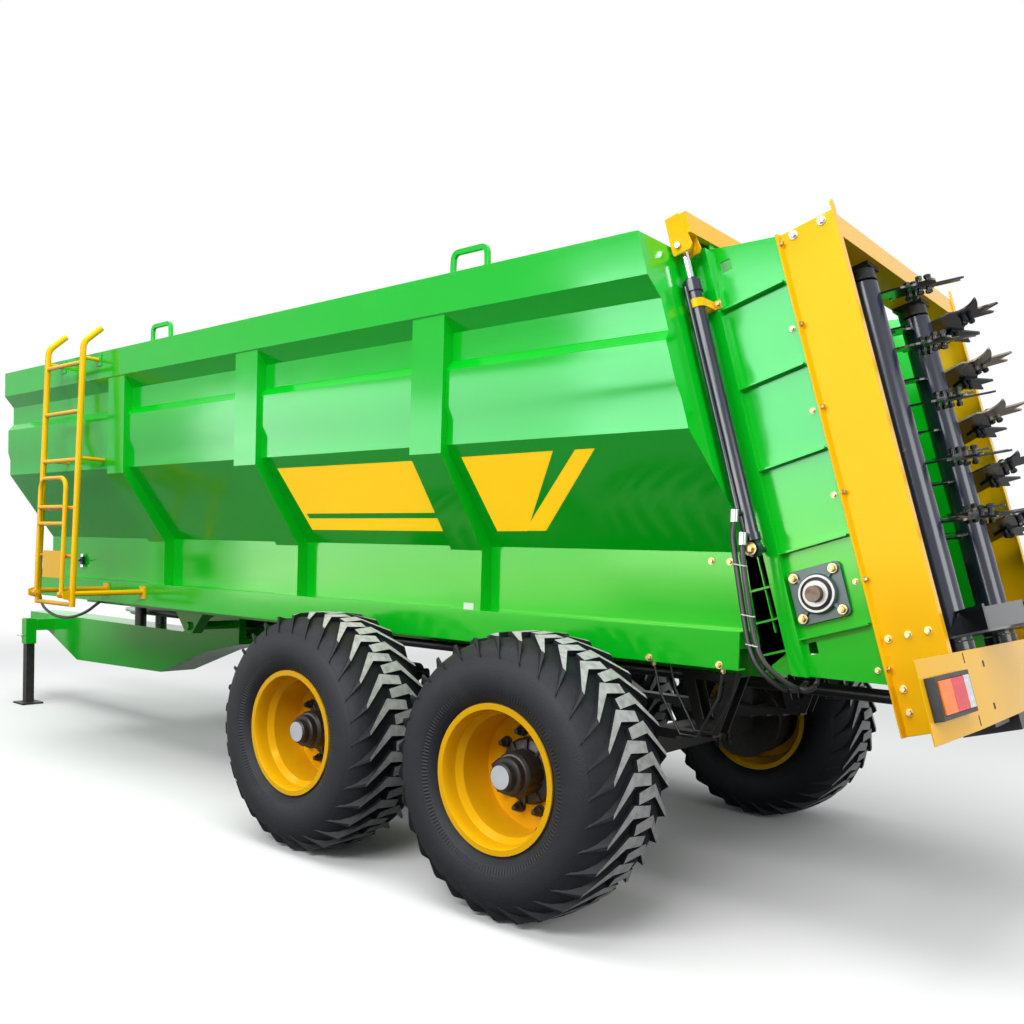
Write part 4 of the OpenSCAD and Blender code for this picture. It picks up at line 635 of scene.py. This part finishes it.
for wheel in WHEELS:
    middle = wheel_middle[wheel]
    outward = 1 if wheel.endswith("left") else -1
    body = "wheel_" + wheel
    rubber = tyre_rubber("rubber_" + wheel, middle)
    highlit_rubber = tyre_rubber("highlit_rubber_" + wheel, middle, highlit=True)
    # The tops of the lugs take the second rubber, whose pale patches are a painted highlight.
    repaint(eased("tyre_" + wheel, rubber, 0.0025, corner=38, extra=(highlit_rubber,)), lug_tops(middle))
    eased("rim_" + wheel, yellow, 0.0015)
    repaint(eased("hub_" + wheel, black, 0.0012, extra=(cap_disc,)), cap_end(middle))
    # A bent plated valve stem through the disc, under a black cap
    disc_face = middle.y - outward * DISC_Y
    stem = [Vector((middle.x + ahead, disc_face + outward * out, middle.z + up)) for ahead, out, up in STEM]
    tip = (stem[3] - stem[2]).normalized() * CAP_LENGTH
    rods("valve_" + wheel, [stem], STEM_D, yellow_zinc, body)
    rods("valve_cap_" + wheel, [[stem[3], stem[3] + tip]], CAP_D, black, body)

# ------------------------------------------------------------------ rear unit
# Green side plates with welded stiffeners carry yellow posts folded from 6 mm plate
# and lean forward 16.7 degrees. Zinc-plated bolts hold post to plate, and the guard to both.

LEAN = math.radians(16.7)
POST_FOOT_X = -4.5494
DEEP = Vector((math.cos(LEAN), 0.0, -math.sin(LEAN)))     # from the posts' rear face forwards
RISE = Vector((math.sin(LEAN), 0.0, math.cos(LEAN)))      # up along the posts


def leaning(deep, side, rise):
    """A point of the leaning rear unit, from distances in metres."""
    return Vector((POST_FOOT_X, side, 0.0)) + DEEP * deep + RISE * rise


def unlean(at):
    """How deep and how high a point lies in the leaning unit."""
    off = at - Vector((POST_FOOT_X, 0.0, 0.0))
    return off.dot(DEEP), off.dot(RISE)


for name in ("rear_frame_left", "rear_frame_right"):
    eased(name, green, 0.0018)
for name in ("post_left", "post_right", "top_beam", "rear_guard"):
    eased(name, yellow, 0.0015)
navy = enamel("navy_enamel", (0.017, 0.021, 0.040), 0.22, level=0.6, dust=0.12)
eased("bottom_beam", navy, 0.002)
for name in ("gearbox", "driveline", "beater_bearings"):
    eased(name, black, 0.002)

POST_SKIN = 0.746                 # outer face of a post
PLATE_SKIN = 0.740                # outer face of a side plate
LIP_DEEP, LIP_SIDE, LIP_FOOT, LIP_TOP = 0.2105, 0.762, 1.213, 2.840     # bolts in a post's front lip
PLATE_DEEP, PLATE_FOOT, BOLT_PITCH, BOLT_ROWS = 0.252, 1.217, 0.326, 5    # and in the side plate
TOP_ROW, TOP_RISE = (0.048, 0.160), 2.857
FOOT_ROW, FOOT_RISE = (0.047, 0.116, 0.187), 1.318
FOOT_COLUMN, COLUMN_DEEP = (1.137, 1.054), 0.178
lip_bolts, plate_bolts, top_bolts, foot_bolts = [], [], [], []
for side in (1, -1):
    out = (0, side, 0)
    lip_axis = Vector((0, side * 0.2, 0)) - DEEP
    rows = [k * BOLT_PITCH for k in range(BOLT_ROWS)]
    lip_bolts += [(leaning(LIP_DEEP, side * LIP_SIDE, rise), lip_axis)
                  for rise in [LIP_FOOT + row for row in rows] + [LIP_TOP]]
    plate_bolts += [(leaning(PLATE_DEEP, side * PLATE_SKIN, PLATE_FOOT + row), out) for row in rows]
    top_bolts += [(leaning(deep, side * POST_SKIN, TOP_RISE), out) for deep in TOP_ROW]
    foot_bolts += [(leaning(deep, side * POST_SKIN, FOOT_RISE), out) for deep in FOOT_ROW]
    foot_bolts += [(leaning(COLUMN_DEEP, side * POST_SKIN, rise), out) for rise in FOOT_COLUMN]
fixings("post_lip_bolts", lip_bolts, yellow_zinc, across_flats=0.015, head_height=0.008, washer_width=0.022)
fixings("plate_bolts", plate_bolts, yellow_zinc, across_flats=0.015, head_height=0.008, washer_width=0.022)
fixings("post_top_bolts", top_bolts, bright_zinc, across_flats=0.023, head_height=0.012, washer_width=0.032)
fixings("post_foot_bolts", foot_bolts, yellow_zinc, across_flats=0.018, head_height=0.010, washer_width=0.027)

# Flanged bearings of the floor conveyor's drive shaft: grey-green castings, each with a
# turned insert and four bolts. The shaft ends are bare and brown from handling.

BEARING_DEEP, BEARING_RISE, BEARING_BOLT = 0.390, 1.532, 0.077
FLANGE_OUT = 0.026               # the flange's face, out of the side plate
# Radius and height of the turned insert, its collar and the rubber seal round them
INSERT_R, INSERT_OUT = 0.0505, 0.0365
COLLAR_R, COLLAR_OUT = 0.071, 0.041
SEAL_R, SEAL_OUT = 0.0612, 0.035
casting = enamel("casting_paint", (0.055, 0.105, 0.100), 0.38, level=0.5, peel=0.12, dust=0.1)
insert = metal("turned_insert", (0.36, 0.35, 0.34), 0.42)
seal = enamel("seal_rubber", (0.012, 0.011, 0.010), 0.6, level=0.3)


def bearing_zone(at, normal):
    """Slot 1 for the turned insert and collar, slot 2 for the seal."""
    deep, rise = unlean(at)
    reach = math.hypot(deep - BEARING_DEEP, rise - BEARING_RISE)
    height = abs(at.y) - PLATE_SKIN
    if (reach < INSERT_R and height > INSERT_OUT) or (reach < COLLAR_R and height > COLLAR_OUT):
        return 1
    return 2 if reach < SEAL_R and height > SEAL_OUT else 0


repaint(eased("shaft_bearings", casting, 0.0025, extra=(insert, seal)), bearing_zone)
bearing_bolts = [(leaning(BEARING_DEEP + a * BEARING_BOLT, side * (PLATE_SKIN + FLANGE_OUT),
                          BEARING_RISE + b * BEARING_BOLT), (0, side, 0))
                 for side, a, b in product((1, -1), (-1, 1), (-1, 1))]
fixings("bearing_bolts", bearing_bolts, yellow_zinc, across_flats=0.024, head_height=0.013, washer_width=0.036,
        washer_height=0.004, thread_width=0.016, thread_height=0.007)

# Tail lamps: a black housing screwed to each wing of the guard, with white, red and
# amber lenses moulded with fine prisms over their reflectors.


def lens(name, colour, painted_glow=0.06):
    """Clear-coated coloured acrylic with a grid of prisms and rows of reflector cups, and a painted glow
    although the lamps are not lit.
    """
    material, tree = shader(name)
    place = spot(tree)
    cups = node(tree, "ShaderNodeTexVoronoi", {"Vector": place, "Scale": 38.0,
                                               "Randomness": 0.0}).outputs["Distance"]
    prisms = node(tree, "ShaderNodeTexVoronoi", {"Vector": place, "Scale": 210.0, "Randomness": 0.0},
                  distance="CHEBYCHEV").outputs["Distance"]
    rim = span(tree, cups, (0.22, 0.42), (1.0, 0.62))
    tone = blend(tree, rim, tuple(0.5 * c for c in colour), colour)
    relief = calc(tree, "MULTIPLY_ADD", prisms, 0.5, cups)
    return coated(material, {"Base Color": tone, "Roughness": 0.22, "Normal": bumps(tree, relief, 0.5, 0.002),
                             "Coat Weight": 0.15, "Coat Roughness": 0.1, "Specular IOR Level": 0.25,
                             "Emission Color": tone, "Emission Strength": painted_glow})


plastic = enamel("lamp_plastic", (0.018, 0.019, 0.022), 0.42, level=0.4)
eased("tail_lamps", plastic, 0.0015)
white_lens = lens("lens_white", (0.78, 0.80, 0.82))
# Red and amber lenses get a stronger painted glow; the lamps are not lit.
red_lens = lens("lens_red", (0.72, 0.03, 0.05), 0.25)
amber_lens = lens("lens_amber", (0.95, 0.20, 0.01), 0.30)
LENS_ENDS = (0.917, 1.026)        # where red starts and ends, from the middle of the machine
repaint(eased("lamp_lenses", white_lens, 0.0015, extra=(red_lens, amber_lens)),
        lambda at, normal: sum(abs(at.y) > end for end in LENS_ENDS))

# Holes punched in the guard beside its folds and the cable hole in each wing, drawn as dark flat sheets on the
# guard's face: painted shade in the openings
GUARD_FACE = -0.0462
# Distance from the middle, heights, width and height of each kind of hole
PUNCHED = ((LIP_SIDE, (1.203, 0.992), 0.011, 0.036), (0.55, (1.17, 1.02), 0.022, 0.022))
hole_shade_quads = [[leaning(GUARD_FACE, side * y + a * wide / 2, rise + b * high / 2)
            for a, b in ((-1, -1), (-1, 1), (1, 1), (1, -1))]
           for y, rises, wide, high in PUNCHED for side in (1, -1) for rise in rises]
hole_shade_piece = flat("guard_hole_shade", hole_shade_quads, seal)
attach(hole_shade_piece, "chassis")

# ------------------------------------------------------------------ slurry door
# A flat door slides in guides. Two double-acting cylinders in navy enamel lift it by a
# yellow beam; their rods and pins are chromed, and a yellow strap steadies each barrel.

chrome = metal("chrome", (0.80, 0.80, 0.82), 0.07, wear=0.15)
eased("door_plate", green, 0.002)
for name in ("door_beam", "cylinder_clamps"):
    eased(name, yellow, 0.0015)
eased("cylinders", navy, 0.0012)
eased("door_rods", chrome, 0.001)

CYL_DEEP, CYL_SIDE, CYL_FOOT, CLAMP_RISE = 0.549, 0.860, 1.744, 2.724
FOOT_OUT = 0.032                 # the foot pin's end, out of the cylinder's middle
STRAP_DEEP, STRAP_SIDE = CYL_DEEP - 0.054, 0.782
CHANNEL_BOLTS, CHANNEL_SIDE, CHANNEL_RISE = (-0.690, -0.609), 0.7552, 1.463     # ahead of the rear axle
foot_nuts, strap_bolts, channel_bolts = [], [], []
for side in (1, -1):
    out = (0, side, 0)
    foot_nuts.append((leaning(CYL_DEEP, side * (CYL_SIDE + FOOT_OUT), CYL_FOOT), out))
    strap_bolts.append((leaning(STRAP_DEEP, side * STRAP_SIDE, CLAMP_RISE), out))
    channel_bolts += [((x + AXLE_X, side * CHANNEL_SIDE, CHANNEL_RISE), out) for x in CHANNEL_BOLTS]
fixings("foot_nuts", foot_nuts, yellow_zinc, across_flats=0.030, head_height=0.014, washer_width=0.050,
        washer_height=0.004, thread_width=0.020, thread_height=0.006)
fixings("strap_bolts", strap_bolts, yellow_zinc, across_flats=0.016, head_height=0.009, washer_width=0.024)
fixings("channel_bolts", channel_bolts, yellow_zinc, across_flats=0.017, head_height=0.010, washer_width=0.028)


# ------------------------------------------------------------------ hoses
# Braided hydraulic hoses with crimped zinc ferrules. White cable ties hold the pair
# beside each cylinder together.


def hose_rubber(name):
    """Black hose cover: fine slanted cloth marks left by the wrap it was cured in."""
    material, tree = shader(name)
    place = spot(tree)
    slant = node(tree, "ShaderNodeMapping", {"Vector": place, "Rotation": (0.5, 0.7, 0.2)}).outputs[0]
    wrap = node(tree, "ShaderNodeTexWave", {"Vector": slant, "Scale": 70.0, "Distortion": 1.0}).outputs["Fac"]
    dust = noise(tree, place, 14.0, 4.0)
    tone = blend(tree, dust, (0.008, 0.008, 0.009), (0.030, 0.029, 0.028))
    bump = bumps(tree, wrap, 0.3, 0.001)
    return coated(material, {"Base Color": tone, "Roughness": 0.42, "Normal": bump})


hose_cover = hose_rubber("hose_cover")
for name in ("hose_rear", "hose_front"):
    eased(name, hose_cover, 0.0, corner=50)
eased("hose_fittings", bright_zinc, 0.0012)

nylon = enamel("tie_nylon", (0.80, 0.80, 0.78), rough=0.45, level=0.4)
TIE_REACH, TIE_ROUND = 0.0135, 0.0125          # half the hoses' spacing, and a hose's radius with the tie
TIE_SPOTS, TIE_SIDE = ((-0.822, 1.452), (-0.863, 1.268), (-0.886, 1.160)), 0.934
TIE_ALONG = Vector((0.98, 0.0, 0.14)).normalized()
TIE_STEPS, TIE_D = 24, 0.0042


def tie_loop(middle):
    """One tie round two hoses that lie side by side."""
    loop = []
    for k in range(TIE_STEPS + 1):
        a = math.tau * k / TIE_STEPS
        shift = TIE_REACH if math.cos(a) > 0 else -TIE_REACH
        loop.append(middle + TIE_ALONG * (shift + TIE_ROUND * math.cos(a))
                    + Vector((0, TIE_ROUND * math.sin(a), 0)))
    return loop


rods("hose_ties", [tie_loop(Vector((x + AXLE_X, side * TIE_SIDE, z)))
                   for side in (1, -1) for x, z in TIE_SPOTS], TIE_D, nylon)


# ------------------------------------------------------------------ beaters
# Two upright beaters: a tube with flights welded on and swallow-tailed knives bolted
# through them. Gloss navy at first, scraped to bare steel where muck has passed.


def beater_enamel(name, colour, wear):
    """Gloss enamel scraped and browned in patches; wear is how much of it is gone."""
    material, tree = shader(name)
    place = spot(tree)
    patch = noise(tree, place, 7.0, 6.0, 0.6)
    scrape = node(tree, "ShaderNodeMapping", {"Vector": place, "Scale": (30.0, 30.0, 6.0)}).outputs[0]
    scrape = noise(tree, scrape, 1.5, 5.0)
    gone = span(tree, patch, (0.72 - wear, 0.80 - wear), smooth=True)
    scraped = span(tree, scrape, (0.40, 0.60))
    gone = calc(tree, "MULTIPLY", gone, scraped)
    bare = blend(tree, scrape, (0.16, 0.09, 0.05), (0.38, 0.33, 0.27))
    tone = blend(tree, gone, colour, bare)
    gloss = span(tree, gone, (0.0, 1.0), (0.20, 0.50))
    shine = calc(tree, "MULTIPLY", gone, 0.6)
    bump = bumps(tree, scrape, 0.05, 0.001)
    return coated(material, {"Base Color": tone, "Roughness": gloss, "Metallic": shine,
                                                   "Normal": bump, "Specular IOR Level": 0.6})


BEATER_DEEP, BEATER_SIDE, CORE = 0.091, 0.325, 0.0625
FLIGHT_RISE, FLIGHT_PITCH, FLIGHT_TILT = 1.725, 0.236, math.radians(14.0)
FLIGHT_LEVELS, FLIGHT_THICK, KNIFE_THICK = 5, 0.008, 0.008
BOLT_REACH = (0.208, 0.240)       # the bolts' distances from the axis
BOLT_SPREAD = math.radians(15.0)
BOLT_OVER = 0.010                 # a head stands this far off the knives
TUBE_SKIN = 0.004                 # faces this near the tube keep its enamel
REST_TURN = {"beater_left": math.radians(220.0), "beater_right": math.radians(230.0)}
tube_enamel = beater_enamel("beater_tube", (0.016, 0.022, 0.045), 0.02)
blade_enamel = beater_enamel("beater_blades", (0.011, 0.013, 0.020), 0.14)
bare_blade = beater_enamel("beater_bare", (0.30, 0.26, 0.21), 0.30)
BARE = {("beater_right", 2), ("beater_right", 3)}         # levels with blades worn to bare steel


def flight_space(name):
    """From the leaning unit's axes to a beater's own, turned with it, and whether it is mirrored."""
    turn = Matrix.Rotation(-REST_TURN[name], 3, "Z")
    return turn, -1 if name == "beater_right" else 1


def beater_zone(name):
    """Slot 0 for the tube, 1 for the blades and 2 for the bare ones."""
    turn, mirrored = flight_space(name)

    def zone(at, normal):
        deep, rise = unlean(at)
        own = turn @ Vector((deep - BEATER_DEEP, at.y - mirrored * BEATER_SIDE, rise))
        if math.hypot(own.x, own.y) < CORE + TUBE_SKIN:
            return 0
        level = round((own.z - FLIGHT_RISE) / FLIGHT_PITCH)
        return 2 if (name, level) in BARE and own.x > 0 and own.y * mirrored > 0.02 else 1
    return zone


for name in ("beater_left", "beater_right"):
    repaint(eased(name, tube_enamel, 0.0012, extra=(blade_enamel, bare_blade)), beater_zone(name))
    turn, mirrored = flight_space(name)
    back = turn.transposed()
    heads = []
    for level, half, spread, reach, top in product(range(FLIGHT_LEVELS), (0.0, math.pi),
                                                   (-BOLT_SPREAD, BOLT_SPREAD), BOLT_REACH, (True, False)):
        low = FLIGHT_THICK + KNIFE_THICK + BOLT_OVER if top else -KNIFE_THICK - BOLT_OVER
        tilt = Matrix.Rotation(half, 3, "Z") @ Matrix.Rotation(FLIGHT_TILT, 3, "X")
        own = tilt @ Vector((reach * math.cos(spread), reach * math.sin(spread), low))
        axis = tilt @ Vector((0, 0, 1 if top else -1))
        own.y, axis.y = own.y * mirrored, axis.y * mirrored
        own, axis = back @ own, back @ axis
        heads.append((leaning(BEATER_DEEP + own.x, mirrored * BEATER_SIDE + own.y,
                              FLIGHT_RISE + FLIGHT_PITCH * level + own.z),
                      DEEP * axis.x + Vector((0, axis.y, 0)) + RISE * axis.z))
    fixings(name + "_bolts", heads, black, name, across_flats=0.024, head_height=0.010, washer_width=0.026,
            washer_height=0.002, thread_width=0.014, thread_height=0.004)


# ------------------------------------------------------------------ drawbar and jack
# A welded box drawbar on sprung pivots, with a ring eye and the drive shaft's splined
# end. The parking jack slides in a square sleeve and hangs on a pin.

for name in ("drawbar", "drawbar_pivots", "jack_sleeve"):
    eased(name, green, 0.002)
for name in ("drawbar_springs", "jack_leg"):
    eased(name, black, 0.0015)
eased("tow_eye", metal("worn_eye", (0.30, 0.30, 0.31), 0.30, rust=0.25), 0.002)
eased("pto_input", bright_zinc, 0.001)
sleeve_low, sleeve_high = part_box("jack_sleeve")
sleeve_middle = (sleeve_low + sleeve_high) / 2
PIN_RISE, PIN_OUT, PIN_D = 0.075, 0.022, 0.012
PIN_BENDS = ((0.012, 0.010, 0.0), (0.050, 0.012, 0.0))
CLIP_AHEAD, CLIP_R, CLIP_D, CLIP_STEPS = 0.004, 0.014, 0.003, 16
pin_foot = Vector((sleeve_middle.x, sleeve_high.y, sleeve_low.z + PIN_RISE))
pin_from = pin_foot + Vector((0.0, PIN_OUT, 0.0))
rods("jack_pin", [[pin_foot, pin_from, *(pin_from + Vector(bend) for bend in PIN_BENDS)]], PIN_D, bright_zinc)
clip_turns = [math.tau * k / CLIP_STEPS for k in range(CLIP_STEPS + 1)]
rods("jack_clip", [[pin_from + Vector((CLIP_AHEAD + CLIP_R * math.cos(a), 0.0, CLIP_R * math.sin(a)))
                    for a in clip_turns]], CLIP_D, yellow_zinc)


# ------------------------------------------------------------------ ladder
# Bent and welded tube, bolted to the rail and the sill, with a step frame that folds
# down on two pins. Yellow enamel over all of it.

for name in ("ladder", "ladder_step"):
    eased(name, yellow, 0.001)

# Grease valve and its handle on the channel's side, next to the ladder
VALVE = Vector((4.58 + AXLE_X, 0.755, 1.326))
VALVE_OUT, VALVE_HALF, VALVE_D = 0.018, 0.030, 0.034
HANDLE = ((0.0, 0.036, 0.0), (0.0, 0.050, 0.0), (-0.045, 0.054, 0.010))
HANDLE_D = 0.010
valve_ends = [VALVE + Vector((0.0, VALVE_OUT, s * VALVE_HALF)) for s in (-1, 1)]
rods("valve_body", [valve_ends], VALVE_D, black)
rods("valve_handle", [[VALVE + Vector(bend) for bend in HANDLE]], HANDLE_D, black)
fixings("valve_unions", [(valve_ends[0], (0, 0, -1)), (valve_ends[1], (0, 0, 1))],
        bright_zinc, across_flats=0.024, head_height=0.014, washer_width=0.026)


# ------------------------------------------------------------------ under the sill
# A bent black guard rod below each sill keeps the brake hoses off the wheels. Two
# zinc bolts hold its ends.

# The rod's bends: ahead of the rear axle, out from the middle, and height
GUARD_RUN = ((-0.395, 0.815, 1.050), (-0.425, 0.81, 0.93), (-0.520, 0.80, 0.765), (-0.600, 0.80, 0.765),
             (-0.690, 0.81, 0.93), (-0.710, 0.815, 1.050))
GUARD_INSETS, GUARD_D = (0.0, 0.12), 0.012       # an outer and an inner rod on each side
FLANGE_NUT, WEB_NUT = (0.815, 1.050), (0.8505, 1.066)
guard_runs, guard_nuts = [], []
for side in (1, -1):
    guard_runs += [[Vector((x + AXLE_X, side * (y - inset), z)) for x, y, z in GUARD_RUN]
                   for inset in GUARD_INSETS]
    for end in (GUARD_RUN[0][0] + AXLE_X, GUARD_RUN[-1][0] + AXLE_X):
        guard_nuts.append(((end, side * FLANGE_NUT[0], FLANGE_NUT[1]), (0, 0, -1)))
        guard_nuts.append(((end, side * WEB_NUT[0], WEB_NUT[1]), (0, side, 0)))
rods("hose_guards", guard_runs, GUARD_D, black)
fixings("hose_guard_nuts", guard_nuts, yellow_zinc, across_flats=0.019, head_height=0.011, washer_width=0.030,
        thread_width=0.012, thread_height=0.006)


# ------------------------------------------------------------------ tag
# A small blank paper tag, stuck on at the foot of the rib between the wheels when the
# machine was painted.

RIB_TAG = Vector((0.635 + AXLE_X, 0.8235, 1.215))
TAG_HALF = (0.032, 0.016)
rib_tag = flat("rib_tag", [[RIB_TAG + Vector((a * TAG_HALF[0], 0.0, b * TAG_HALF[1]))
                            for a, b in ((-1, 1), (1, 1), (1, -1), (-1, -1))]], paper)
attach(rib_tag, "chassis")
